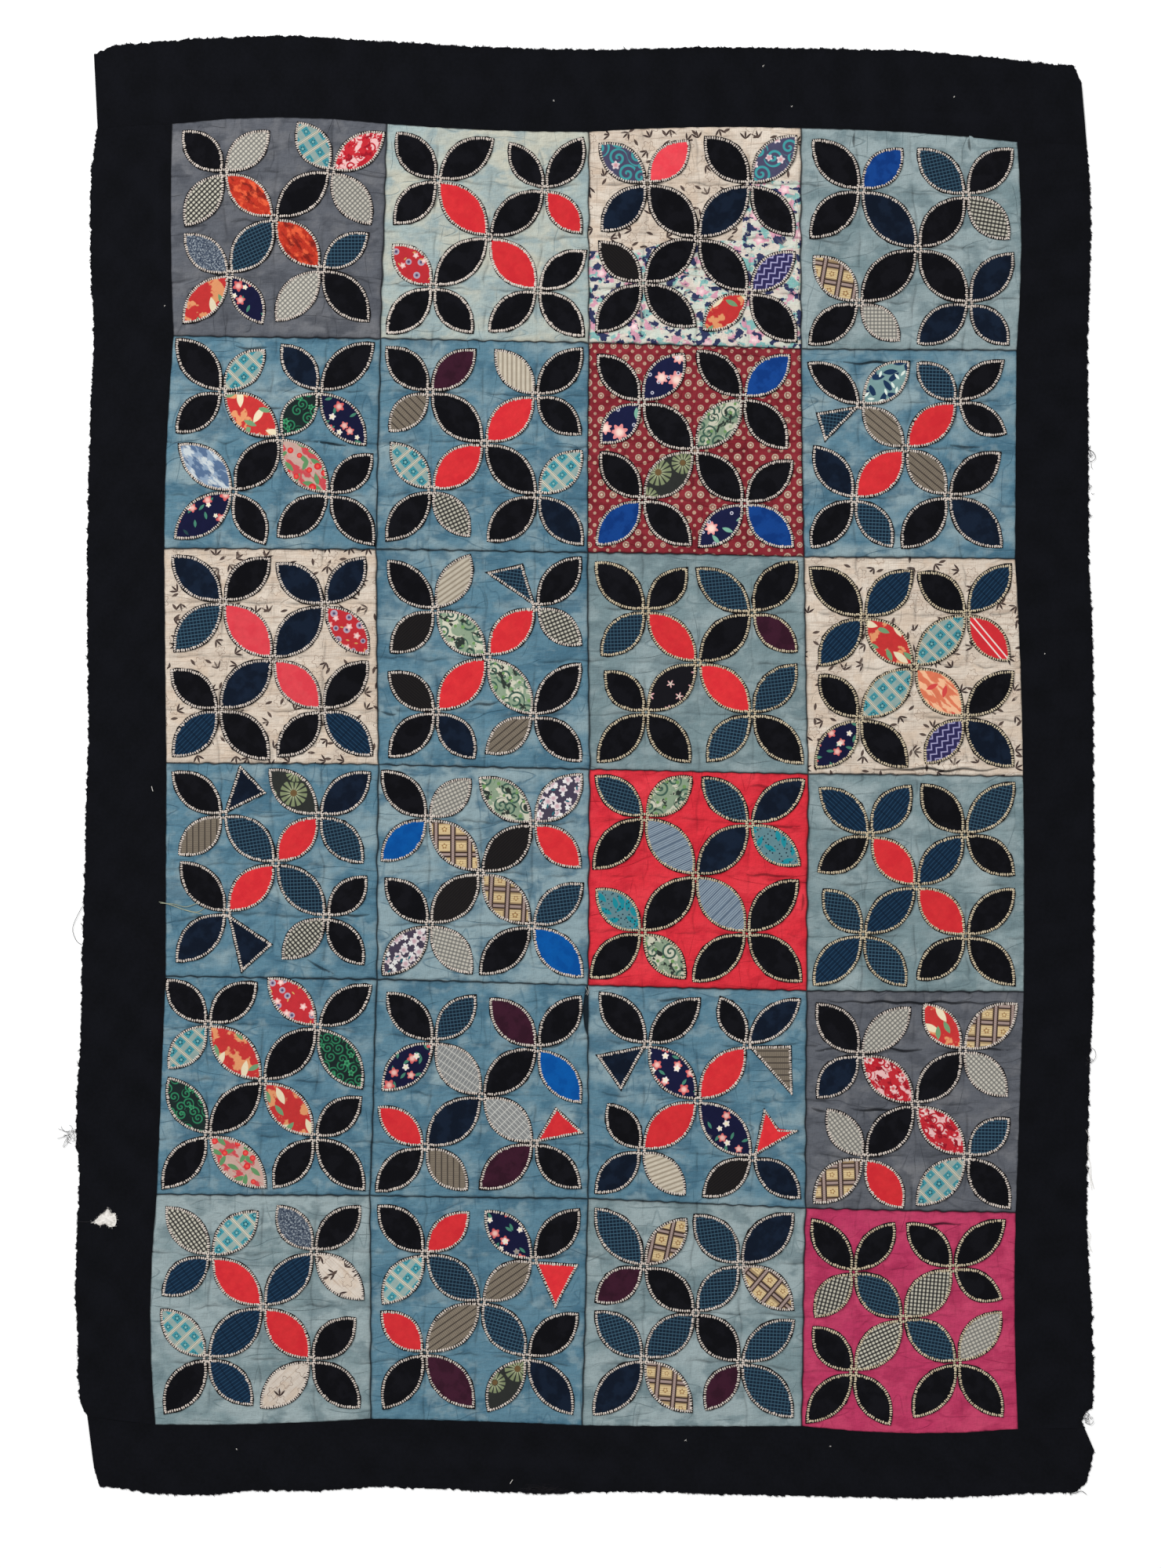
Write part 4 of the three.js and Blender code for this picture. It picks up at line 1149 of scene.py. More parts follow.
# The cloths of the petals, by their letters in the charts
CLOTHS = {
    "K": Cloth("black", (13, 13, 17), (Cloud(24, 24, (20, 20, 25), 0.52, 0.1, 0.7),)),
    "N": Cloth("navy", (15, 24, 39), (Cloud(24, 24, (22, 34, 52), 0.52, 0.1, 0.7),)),
    "C": Cloth("charcoal", (27, 25, 26), (Stripe(3.1, 1.2, (36, 33, 32), cover=0.6),)),
    "R": Cloth("red", (226, 52, 58), (Cloud(20, 20, (204, 40, 50), 0.55, 0.1, 0.6),)),
    "O": Cloth("coral", (238, 76, 86), (Cloud(20, 20, (220, 58, 72), 0.55, 0.1, 0.6),)),
    "S": Cloth(
        "worn_satin", (196, 54, 36),
        (Cloud(24, 12, (126, 32, 26), 0.57, 0.08), Cloud(14, 9, (226, 92, 58), 0.58, 0.08, shift=3.0)),
        0.1, 0.5, 0.9,
    ),
    "B": Cloth("royal_blue", (22, 70, 146), (Cloud(18, 18, (14, 54, 120), 0.52, 0.1),)),
    "q": Cloth("bright_blue", (9, 88, 166), (Cloud(18, 18, (6, 74, 146), 0.52, 0.1),)),
    "P": Cloth("plum", (64, 28, 46), (Cloud(18, 18, (50, 22, 36), 0.52, 0.1),)),
    "G": Cloth(
        "bold_gingham", (205, 201, 184), checked(5.2, (2.4, (32, 31, 34), 0.9), (2.1, (36, 35, 38), 0.8)),
    ),
    "g": Cloth(
        "light_gingham", (208, 203, 190),
        checked(5.0, (2.2, (104, 103, 101), 0.75), (2.0, (108, 107, 104), 0.7)),
    ),
    "I": Cloth(
        "indigo_check", (21, 36, 52), checked(4.7, (1.2, (68, 102, 122), 0.65), (1.1, (62, 95, 115), 0.55)),
    ),
    "D": Cloth(
        "indigo_stripe", (18, 40, 62),
        (Stripe(4.7, 1.3, (40, 74, 102), cover=0.6), Stripe(12.0, 1.2, (11, 20, 33), Axis.ACROSS, 0.6)),
    ),
    "W": Cloth(
        "tan_stripe", (207, 197, 178),
        (Stripe(6.2, 1.8, (126, 112, 94), cover=0.75), Stripe(3.1, 0.7, (160, 148, 130), cover=0.6)),
    ),
    "T": Cloth(
        "taupe_stripe", (134, 123, 108),
        (Stripe(8.2, 1.6, (44, 39, 38), cover=0.9), Stripe(2.6, 0.9, (88, 79, 71), Axis.ACROSS, 0.6)),
    ),
    "H": Cloth(
        "chambray", (112, 130, 147),
        (Stripe(2.7, 0.8, (178, 188, 196), cover=0.55), Stripe(10.4, 1.1, (50, 67, 92), cover=0.85)),
    ),
    "L": Cloth(
        "grey_plaid", (145, 147, 145),
        (
            *checked(9.4, (2.6, (116, 119, 122), 0.6), (2.2, (122, 124, 126), 0.5)),
            Stripe(4.7, 0.9, (214, 213, 206), cover=0.7, shift=2),
            Stripe(9.4, 1.1, (208, 207, 200), Axis.ACROSS, 0.7, 5),
        ),
    ),
    "E": Cloth(
        "teal_block_print", (150, 173, 168),
        (
            Motif(Form.BRICK, 17, 5.9, (66, 144, 156), loose=0.0),
            Motif(Form.ROSE, 17, 3.4, (22, 78, 94), (132, 188, 186), loose=0.0),
            Stripe(17, 4.6, (190, 192, 178), Axis.ACROSS, 0.95),
            Stripe(17, 2.8, (112, 108, 88), Axis.ACROSS, 0.9),
            Stripe(17, 1.5, (206, 204, 188), Axis.ACROSS),
        ),
    ),
    "F": Cloth(
        "navy_rose_print", (24, 26, 58),
        (
            Motif(Form.LEAF, 17, 5.5, (70, 130, 108), share=0.55),
            Motif(Form.ROSE, 26, 7, (206, 92, 92), (236, 190, 178), 0.85),
            Motif(Form.ROSE, 21, 4.2, (232, 222, 220), (244, 232, 190), 0.5, shift=3.7),
        ),
    ),
    "Q": Cloth(
        "navy_lotus_print", (26, 30, 64),
        (
            Motif(Form.LEAF, 24, 8, (120, 172, 150), share=0.5),
            Motif(Form.ROSE, 38, 11, (222, 136, 136), (240, 214, 200), lobes=7),
            Motif(Form.RING, 15, 2.4, (196, 196, 210), share=0.3, shift=2.9),
        ),
    ),
    "V": Cloth(
        "red_small_print", (200, 50, 58),
        (
            Motif(Form.DISC, 18, 4.2, (178, 164, 180), (70, 56, 96), 0.8),
            Motif(Form.ROSE, 21, 4.9, (228, 164, 160), (240, 214, 206), 0.7, shift=6.6),
            Motif(Form.LEAF, 14, 2.8, (206, 160, 96), share=0.5, shift=5.1),
        ),
    ),
    "X": Cloth(
        "green_scroll_print", (30, 42, 42),
        (
            Motif(Form.CURL, 15, 8, (46, 122, 86)),
            Motif(Form.ROSE, 19, 4.2, (70, 158, 108), (30, 92, 66), 0.6, shift=4.3),
        ),
    ),
    "Y": Cloth(
        "red_bird_print", (204, 56, 56),
        (
            Cloud(22, 22, (222, 150, 104), 0.57, 0.03),
            Motif(Form.LEAF, 34, 13, (228, 214, 182), share=0.6),
            Motif(Form.LEAF, 26, 9.5, (112, 152, 112), share=0.5, shift=6.1),
        ),
    ),
    "Z": Cloth(
        "red_white_print", (204, 46, 56),
        (
            Cloud(17, 12, (232, 186, 184), 0.53, 0.03),
            Motif(Form.CURL, 19, 9, (184, 30, 44), share=0.7),
            Motif(Form.ROSE, 25, 5.6, (238, 214, 208), (206, 80, 84), 0.6, shift=2.3),
            Cloud(12, 8, (150, 26, 40), 0.6, 0.03, shift=5.0),
        ),
    ),
    "M": Cloth(
        "mint_print", (146, 166, 140),
        (
            Cloud(22, 16, (204, 202, 182), 0.54, 0.03),
            Motif(Form.CURL, 23, 11, (62, 92, 80)),
            Cloud(15, 11, (46, 54, 50), 0.61, 0.02, shift=6.0),
            Motif(Form.DISC, 13, 2.2, (112, 150, 92), share=0.6, shift=8.1),
        ),
    ),
    "A": Cloth(
        "olive_aster_print", (48, 50, 48),
        (
            Motif(Form.RAYS, 36, 16, (124, 134, 100), (168, 174, 138), lobes=13),
            Motif(Form.DISC, 36, 4.0, (106, 84, 54)),
        ),
    ),
    "U": Cloth(
        "turquoise_print", (104, 142, 150),
        (
            Motif(Form.LEAF, 15, 9.5, (30, 138, 152), share=0.9),
            Motif(Form.DISC, 6, 1.0, (30, 48, 62), share=0.7, shift=3.3),
        ),
    ),
    "J": Cloth(
        "purple_blossom_print", (74, 66, 84),
        (
            Motif(Form.ROSE, 14, 6.2, (222, 214, 214), (194, 160, 168)),
            Motif(Form.ROSE, 11, 3.6, (226, 224, 222), share=0.6, shift=4.4),
            Motif(Form.LEAF, 12, 3.6, (44, 104, 116), share=0.4, shift=1.9),
        ),
    ),
    "t": Cloth(
        "teal_swirl_print", (80, 78, 106),
        (
            Motif(Form.CURL, 26, 13, (66, 154, 158)),
            Motif(Form.ROSE, 22, 5.6, (220, 206, 208), (206, 150, 156), 0.7, shift=6.7),
        ),
    ),
    "b": Cloth(
        "tan_patch_print", (168, 143, 108),
        (
            Motif(Form.BRICK, 23, 7.4, (212, 188, 142), loose=0.0),
            Motif(Form.ROSE, 23, 3.6, (150, 108, 66), (226, 204, 150), loose=0.0),
            *framed(23, ((7.6, (50, 37, 35)), (3.4, (162, 142, 136))), (Axis.ALONG, Axis.ACROSS)),
            Stripe(2.9, 0.8, (120, 98, 82), cover=0.5),
        ),
    ),
    "z": Cloth(
        "zigzag_print", (50, 46, 88),
        (Zigzag(9, 3.0, 6, (112, 110, 164)), Zigzag(9, 0.9, 6, (200, 194, 208))),
    ),
    "p": Cloth(
        "berry_print", (204, 170, 158),
        (
            Cloud(26, 14, (196, 74, 80), 0.55, 0.04),
            Motif(Form.LEAF, 16, 9, (96, 142, 96), share=0.85),
            Motif(Form.DISC, 19, 4.4, (208, 44, 50), (232, 90, 80), 0.7, shift=3.1),
        ),
    ),
    "w": Cloth(
        "blue_cloud_print", (88, 112, 146),
        (Cloud(34, 13, (192, 200, 204), 0.52, 0.06), Cloud(16, 8, (134, 154, 176), 0.57, 0.05, shift=3.0)),
    ),
    "f": Cloth(
        "blue_fleck", (74, 84, 100),
        (Cloud(2.4, 2.4, (146, 155, 162), 0.56, 0.06), Cloud(3, 3, (38, 48, 66), 0.6, 0.05, shift=4.0)),
    ),
    "e": Cloth(
        "black_star", (24, 23, 28), (Motif(Form.STAR, 22, 6.0, (214, 160, 162), (236, 216, 200), 0.8),),
    ),
    "h": Cloth(
        "peach_feather_print", (236, 128, 94),
        (Cloud(26, 7, (246, 190, 150), 0.52, 0.05), Motif(Form.LEAF, 26, 9, (214, 72, 70), share=0.5)),
    ),
    "l": Cloth(
        "red_two_line", (220, 50, 58),
        (Stripe(36, 9.0, (236, 224, 216), shift=6), Stripe(36, 5.4, (220, 50, 58), shift=6)),
    ),
    "m": Cloth(
        "mint_leaf_print", (128, 164, 164),
        (
            Motif(Form.LEAF, 16, 10.5, (28, 52, 84), share=0.9),
            Motif(Form.LEAF, 12, 5, (226, 238, 228), share=0.5, shift=2.0),
        ),
    ),
    "c": Cloth("cream_leaf_print", (224, 213, 200), CREAM_LEAVES),
}


@dataclass(frozen=True)
class Wrinkle:
    """Fine wrinkles: their length each way, a line's width, the patches they keep to, and their strength."""

    wide: float
    high: float
    shift: float
    width: float
    patch: float
    patch_shift: float
    begins: float
    full: float
    strength: float = 1.0

    def drawn(self, dye: Dye) -> Value:
        """Gives where the wrinkles run.

        Args:
            dye: The finish they belong to.

        Returns:
            The share that they cover.
        """
        line = abs(dye.noise(self.wide, self.high, 0.6, self.shift) - 0.5).rise(self.width, 0.0)
        patches = dye.noise(self.patch, self.patch, 1.0, self.patch_shift).rise(self.begins, self.full)
        return line * patches * self.strength


WRINKLES = (
    Wrinkle(105, 30, 11.9, 0.02, 60, 2.9, 0.4, 0.62),
    Wrinkle(26, 95, 21.7, 0.022, 55, 17.3, 0.46, 0.66, 0.8),
)


@dataclass(frozen=True)
class Pieced:
    """The lower of two prints that make up one ground: its shade, layers, and the stepped join above it."""

    shade: Shade
    layers: tuple[Layer, ...]
    level: float = -17
    step: float = 82
    step_at: float = 62
    step_half: float = 2
    slope: float = 14
    slope_at: float = -60
    slope_half: float = 40

    def below(self, dye: Dye) -> Value:
        """Gives where the lower print lies.

        Args:
            dye: The finish it belongs to.

        Returns:
            The share that it covers.
        """
        stepped_up = (dye.x - self.step_at).rise(-self.step_half, self.step_half) * self.step
        sloped_up = (dye.x - self.slope_at).rise(-self.slope_half, self.slope_half) * self.slope
        return (dye.y - self.level - stepped_up - sloped_up).inside(0, 0.6)


@dataclass(frozen=True)
class Dyed:
    """A block's ground: its shade, the shade it fades to, a deeper shade, and what is printed on it."""

    shade: Shade
    faded: Shade
    deep: Shade
    layers: tuple[Layer, ...] = ()
    lower: Pieced | None = None
    fading: float = 0.7
    yarns: float = 0.14
    wrinkle_shade: float = 0.6
    soiled_and_shaded: float = 0.94
    roughness: float = 0.92
    depth: float = 0.7

    def dyed(self, name: str) -> Finish:
        """Makes the ground's material: washed out, blotched, printed, wrinkled with painted shade, and
        darkened with soil and painted shade along its seams and creases.

        Args:
            name: The material's name.

        Returns:
            The material.
        """
        dye = Dye(name)
        wash = dye.noise(95, 70, 3.0, 1.3) + (dye.chance - 0.5) * self.fading
        blotches = (
            Cloud(46, 30, self.deep, 0.555, 0.085, 0.7, 4.7),
            Cloud(38, 30, self.faded, 0.61, 0.09, 0.5, 6.1),
            Cloud(30, 2.6, self.faded, 0.65, 0.13, 0.16, 8.3, 2.0),
        )
        washed = dye.mix(wash.rise(0.36, 0.66), self.shade, self.faded)
        colour = printed(dye, washed, blotches + self.layers)
        if self.lower:
            base = dye.mix(dye.noise(20), self.lower.shade, self.faded)
            colour = dye.mix(self.lower.below(dye), colour, printed(dye, base, self.lower.layers))
        slub = dye.slub(9, 1.1)
        colour = dye.mix(slub.rise(0.8, 1.35) * self.yarns, colour, YARN_SHADOW)
        line = reduce(Value.most, [wrinkle.drawn(dye) for wrinkle in WRINKLES])
        # Painted shade along the fine wrinkles, which the bump also presses in
        colour = dye.mix(line * self.wrinkle_shade, colour, self.deep)
        # Soil with painted shade: darkest in the seams, crease bottoms, fold feet and on the walls
        colour = dye.mix(dye.attribute("soil_and_shade") * self.soiled_and_shaded, colour, SOIL_AND_SHADE)
        height = slub * 0.25 + dye.noise(16, 9, 3.0, 9.7) * 2.4 - line * 0.9
        return dye.finish(colour, self.roughness, height, self.depth)


FLORAL_LAYERS = (
    Cloud(26, 20, (212, 202, 190), 0.52, 0.05),
    Cloud(20, 17, (126, 176, 172), 0.57, 0.03, shift=9.0),
    Cloud(19, 16, (206, 150, 168), 0.59, 0.03, shift=2.0),
    Cloud(15, 13, (48, 54, 88), 0.56, 0.02, shift=5.0),
    Motif(Form.ROSE, 34, 7.5, (222, 168, 182), (240, 214, 214), 0.5, shift=3.9),
)
RINGED_DOTS = (
    Motif(Form.DISC, 17, 4.3, (178, 158, 138), (206, 192, 168), loose=0.06),
    Motif(Form.RING, 17, 2.9, (150, 92, 84), loose=0.06),
    Motif(Form.DISC, 17, 2.2, (178, 146, 126), loose=0.06, shift=8.5),
)
CREAM_SHADES = ((207, 194, 179), (217, 206, 192), (192, 177, 161))

GROUNDS = {
    Ground.SLATE: Dyed((91, 94, 101), (114, 115, 119), (73, 76, 83)),
    Ground.MIST: Dyed((158, 174, 173), (186, 186, 172), (136, 156, 160)),
    Ground.CREAM: Dyed(*CREAM_SHADES, CREAM_LEAVES),
    Ground.PALE: Dyed((116, 136, 140), (147, 162, 164), (102, 121, 126)),
    Ground.BLUE: Dyed((88, 124, 141), (136, 157, 163), (62, 99, 119)),
    Ground.MAROON: Dyed((126, 38, 47), (136, 46, 54), (110, 32, 40), RINGED_DOTS),
    Ground.RED: Dyed((211, 48, 60), (220, 60, 71), (190, 38, 52)),
    Ground.MAGENTA: Dyed((178, 54, 92), (188, 66, 100), (160, 44, 80)),
    Ground.PIECED: Dyed(*CREAM_SHADES, CREAM_LEAVES, Pieced((186, 206, 196), FLORAL_LAYERS)),
}


@dataclass(frozen=True)
class Spun:
    """A thread, cord or plain dark cloth: its two shades, how matt it is, and how deep its twist shows."""

    light: Shade
    dark: Shade
    roughness: float = 0.85
    grain: float = 2.0
    depth: float = 0.2

    def dyed(self, name: str) -> Finish:
        """Makes the material.

        Args:
            name: The material's name.

        Returns:
            The material.
        """
        dye = Dye(name)
        grain = dye.noise(self.grain)
        colour = dye.mix((dye.attribute("tone") * 0.75 + grain * 0.5).rise(0.1, 1.0), self.dark, self.light)
        return dye.finish(colour, self.roughness, grain, self.depth)


THREADS = {
    Thread.WHITE: Spun((210, 199, 189), (150, 138, 130)),
    Thread.CREAM: Spun((202, 188, 161), (146, 130, 107)),
}
EDGE_CORD = Spun((34, 30, 31), (12, 11, 13))
BORDER_CLOTH = Spun((16, 17, 22), (10, 11, 14), 0.95, 5.0, 0.2)
FRAYED = Spun((48, 46, 50), (18, 18, 22))
FLUFF = Spun((236, 232, 226), (190, 186, 180))
SAGE = Spun((168, 172, 150), (110, 116, 100))


@dataclass
class Patch:
    """The points, faces and point values of one piece, gathered in millimetres before the piece is made."""

    points: list[Array] = field(default_factory=list)
    weave: list[Array] = field(default_factory=list)
    marks: list[Array] = field(default_factory=list)
    faces: Faces = field(default_factory=list)
    slots: list[int] = field(default_factory=list)
    count: int = 0

    def add(
        self,
        points: Array,
        faces: Faces,
        mark: Array | float,
        weave: Array | None = None,
        slot: int = 0,
    ) -> None:
        """mark: The tone, or the soil and painted shade, at its points.
            weave: The cloth's coordinates at its points, which are their places if not given.
            slot: Which finish it takes.
        """
        self.points.append(points)
        self.weave.append(lifted(points[:, :2], 0.5) if weave is None else weave)
        self.marks.append(np.broadcast_to(np.asarray(mark, float), (len(points),)))
        self.faces.extend(tuple(corner + self.count for corner in face) for face in faces)
        self.slots.extend([slot] * len(faces))
        self.count += len(points)

    def piece(self, name: str, finishes: Sequence[Finish], mark: str) -> Piece:
        """Makes the piece and lets it ride on the cover.

        Args:
            name: The piece's name.
            finishes: Its materials.
            mark: What its marks are called.

        Returns:
            The piece.
        """
        mesh = bpy.data.meshes.new(name)
        mesh.from_pydata((np.concatenate(self.points) * MM).tolist(), [], self.faces)
        for finish in finishes:
            mesh.materials.append(finish)
        mesh.polygons.foreach_set("material_index", self.slots)
        woven = mesh.attributes.new("weave", "FLOAT_VECTOR", "POINT")
        woven.data.foreach_set("vector", np.concatenate(self.weave).astype(np.float32).ravel())
        marked = mesh.attributes.new(mark, "FLOAT", "POINT")
        marked.data.foreach_set("value", np.concatenate(self.marks).astype(np.float32))
        mesh.shade_smooth()
        mesh.update()
        made = bpy.data.objects.new(name, mesh)
        bpy.context.scene.collection.objects.link(made)
        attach(made, "root")
        LOG.info("%s: %d faces", name, len(self.faces))
        return made


@dataclass
class Petal:
    """One applied petal, from its heart to its tip or cut end."""

    heart: Array
    start: Array
    end: Array
    left: float
    right: float
    letter: str
    degrees: float
    seed: float
    inner: bool
    cut: CutEnd | None = None
    steps: int = 16
    columns: int = 6
    fullness: float = 0.92
    turned_in: float = 2.2
    low: float = 2.65
    rise: float = 0.5
    tip_dome: float = 0.06
    pucker: Wave = Wave(16, 0.12)
    roll: float = 400.0

    def loop(self) -> Array:
        """Draws the petal's outline, along its right side and back along its left.

        Returns:
            The outline, counter-clockwise, with both ends once.
        """
        shares = np.linspace(0, 1, self.steps + 1)[:, None]
        if self.cut:
            right, left = (self.heart + np.array(corner) for corner in (self.cut.right, self.cut.left))
            closing = right + (left - right) * np.array([[0.25], [0.5], [0.75]])
            if self.cut.notch:
                closing = (self.heart + np.array(self.cut.notch))[None]
            out, back = (self.start + (corner - self.start) * shares for corner in (right, left))
            return np.concatenate([out, closing, back[:0:-1]])
        axis = self.end - self.start
        spine = self.start + axis * shares
        bulge = left_hand(unit(axis)) * (4 * shares * (1 - shares)) ** self.fullness
        return np.concatenate([spine - bulge * self.right, (spine + bulge * self.left)[-2:0:-1]])

    def weave(self, places: Array) -> Array:
        """Gives the cloth's coordinates at some points.

        Args:
            places: The points.

        Returns:
            The coordinates, with the petal's chance as the third.
        """
        turn = math.radians(self.degrees)
        along = np.array([math.cos(turn), math.sin(turn)])
        away = places - (self.start + self.end) / 2
        x = away @ along + self.roll * (1 + uneven(self.seed + 0.1))
        y = away @ left_hand(along) + self.roll * (1 + uneven(self.seed + 0.2))
        return lifted(np.column_stack([x, y]), 0.5 + 0.5 * uneven(self.seed + 0.4))

    def cloth(self) -> tuple[Array, Faces]:
        """Fills the outline, a little drawn in, with puffed cloth that meets in one point at each whole end.

        Returns:
            The points and faces.
        """
        loop = self.loop()
        loop = loop - self.turned_in * outward(loop)
        right = loop[: self.steps + 1]
        back = loop[-self.steps :]
        left = np.concatenate([loop[:1], back[::-1]])
        along = np.linspace(0, 1, self.steps + 1)[:, None]
        spread = np.linspace(0, 1, self.columns + 1)
        rows = right[:, None, :] + (left - right)[:, None, :] * spread[None, :, None]
        if self.cut and self.cut.notch:
            notch = self.heart + np.array(self.cut.notch) - (right[-1] + left[-1]) / 2
            rows = rows + (along**3 * (1 - abs(2 * spread - 1)))[:, :, None] * notch
        dome = np.sqrt(np.maximum(1 - (2 * spread - 1) ** 2, 0))
        dome = dome * np.sqrt(np.sin(math.pi * (self.tip_dome + (1 - 2 * self.tip_dome) * along)))
        places = rows.reshape(-1, 2)
        points = lifted(places, self.low + self.rise * dome.reshape(-1) + self.pucker.over(places, self.seed))
        joined = np.arange(len(points)).reshape(self.steps + 1, -1)
        joined[0] = 0
        if self.cut is None:
            joined[-1] = joined[-1, 0]
        used, index = np.unique(joined, return_inverse=True)
        index = index.reshape(-1).tolist()
        net = netted(self.steps + 1, self.columns + 1)
        return points[used], [tuple(dict.fromkeys(index[corner] for corner in face))[::-1] for face in net]


@dataclass
class Edging:
    """The whipped edges of petals: a dark cord along the outline and pale stitches over it."""

    foot: float = 0.8
    rim: float = 1.2
    dark_rim: float = 1.6
    dark_cloths: str = "KNCDIP"
    rim_rough: Wave = Wave(7, 0.3, 31)
    cord_side: float = 2.75
    cord_top: float = 3.35
    cord_top_in: float = 1.5
    cord_end_in: float = 2.7
    cord_sink: float = 0.05
    bead_top: float = 3.95
    bead_long: float = 3.6
    bead_share: float = 0.38
    dense_share: float = 0.5
    bead_start: float = 0.3
    pitch: float = 3.25
    pitch_uneven: float = 0.2
    place_uneven: float = 0.07
    sway: float = 0.06
    long_uneven: float = 0.07
    wide_uneven: float = 0.08
    start_uneven: float = 0.15
    cord_tone: float = 0.35
    cord_tones: Wave = Wave(5, 0.25)
    bead_tone: float = 0.7
    row_tones: float = 0.12
    bead_tones: float = 0.2
    corner: float = 2.4
    bead_profile: tuple[tuple[float, ...], ...] = ((0.0, 0.85, -1.1), (0.5, 1.0, 0.0), (1.0, 0.85, -1.2))
    bead_section: tuple[Point, ...] = ((-1.0, -0.9), (-0.6, 0.0), (0.6, 0.0), (1.0, -0.9))
    bridge_shares: tuple[float, ...] = (-0.1, 0.5, 1.1)
    bridge_out: float = 3.24
    bridge_wide: float = 3.42
    bridge_z: float = 2.6
    bridge_tone: float = 0.3

    def cord(self, patch: Patch, petal: Petal) -> None:
        """Lays the cord along one petal.

        Args:
            patch: The piece that it joins.
            petal: The petal.
        """
        loop = petal.loop()
        out = outward(loop)
        rim = self.dark_rim if petal.letter in self.dark_cloths else self.rim
        rough = rim * self.rim_rough.over(loop, petal.seed)[:, None]
        rings = (
            lifted(loop + out * (rim + rough), self.foot),
            lifted(loop + out * (rim / 2 + rough), self.cord_side),
            lifted(loop - out * self.cord_top_in, self.cord_top),
            lifted(loop - out * self.cord_end_in, petal.low - self.cord_sink),
        )
        points = np.concatenate(rings)
        tone = self.cord_tone + self.cord_tones.over(points, petal.seed)
        patch.add(points, ringed(len(rings), len(loop)), tone)

    def row(self, patch: Patch, centres: Array, ways: Array, share: float, seed: float) -> None:
        """Sews stitches across a line.

        Args:
            patch: The piece that they join.
            centres: Where each stitch comes out.
            ways: Which way is out at each.
            share: Half of a stitch's width as a share of the distance between two.
            seed: The seed of their unevenness.
        """
        count = len(centres)
        chance = np.random.default_rng(int(seed * 10))
        ways = unit(ways) + self.sway * chance.standard_normal(ways.shape)
        hands = left_hand(ways)
        long = self.bead_long * (1 + self.long_uneven * chance.standard_normal(count))
        wide = self.pitch * share * (1 + self.wide_uneven * chance.standard_normal(count))
        start = self.bead_start + self.start_uneven * chance.standard_normal(count)
        profile, section = self.bead_profile, self.bead_section
        points = np.zeros((count, len(profile), len(section), 3))
        for ring, (place, swell, drop) in enumerate(profile):
            spine = centres + ways * (start - place * long)[:, None]
            for side, (reach, sink) in enumerate(section):
                points[:, ring, side, :2] = spine + hands * (reach * swell * wide)[:, None]
                points[:, ring, side, 2] = self.bead_top + drop + sink
        size = len(profile) * len(section)
        one = netted(len(profile), len(section))
        faces = [tuple(corner + bead * size for corner in face) for bead in range(count) for face in one]
        tone = self.bead_tone + self.row_tones * uneven(seed + 17)
        tone = np.clip(tone + self.bead_tones * chance.standard_normal(count), 0, 1)
        patch.add(points.reshape(-1, 3), faces, np.repeat(tone, size))

    def beads(self, patch: Patch, petal: Petal, dense: bool) -> None:
        """Sews the stitches over the cord of one petal.

        Args:
            patch: The piece that they join.
            petal: The petal.
            dense: Whether they lie side by side.
        """
        loop = petal.loop()
        out = outward(loop)
        closed, outs = (np.concatenate([line, line[:1]]) for line in (loop, out))
        far = run(closed)
        whole = far[-1]
        count = round(whole / (self.pitch + self.pitch_uneven * uneven(petal.seed + 11)))
        chance = np.random.default_rng(int(petal.seed * 10) + 1)
        marks = (np.arange(count) + self.place_uneven * chance.standard_normal(count)) * whole / count % whole
        bare = [0.0, whole, *([far[petal.steps]] if petal.inner else [])]
        marks = np.array([mark for mark in marks if min(abs(mark - end) for end in bare) > self.corner])
        centres, ways = between(marks, far, closed), between(marks, far, outs)
        self.row(patch, centres, ways, self.dense_share if dense else self.bead_share, petal.seed)

    def bridge(
        self, cords: Patch, beads: Patch, heart: Array, corners: list[Array], seed: float
    ) -> None:
        """Crosses the threads over one heart, from each petal's corner to the next.

        Args:
            cords: The piece that the cord joins.
            beads: The piece that the stitches join.
            heart: The heart.
            corners: The corners of the four petals that meet there, counter-clockwise.
            seed: The seed of the unevenness.
        """
        for number, start in enumerate(corners):
            end = corners[(number + 1) % len(corners)]
            out = unit((start + end) / 2 - heart)
            centres = np.array([start + (end - start) * share for share in self.bridge_shares])
            ways = np.tile(out, (len(centres), 1))
            self.row(beads, centres + out * self.bridge_out, ways, self.bead_share, seed + number)
            outer = out * self.bridge_wide
            strip = lifted(np.array([start, end, end + outer, start + outer]), self.bridge_z)
            cords.add(strip, [(3, 2, 1, 0)], self.bridge_tone)


# How much of its creases a smoother ground keeps
SMOOTH = {Ground.MAGENTA: 0.45, Ground.MAROON: 0.75, Ground.RED: 0.75}


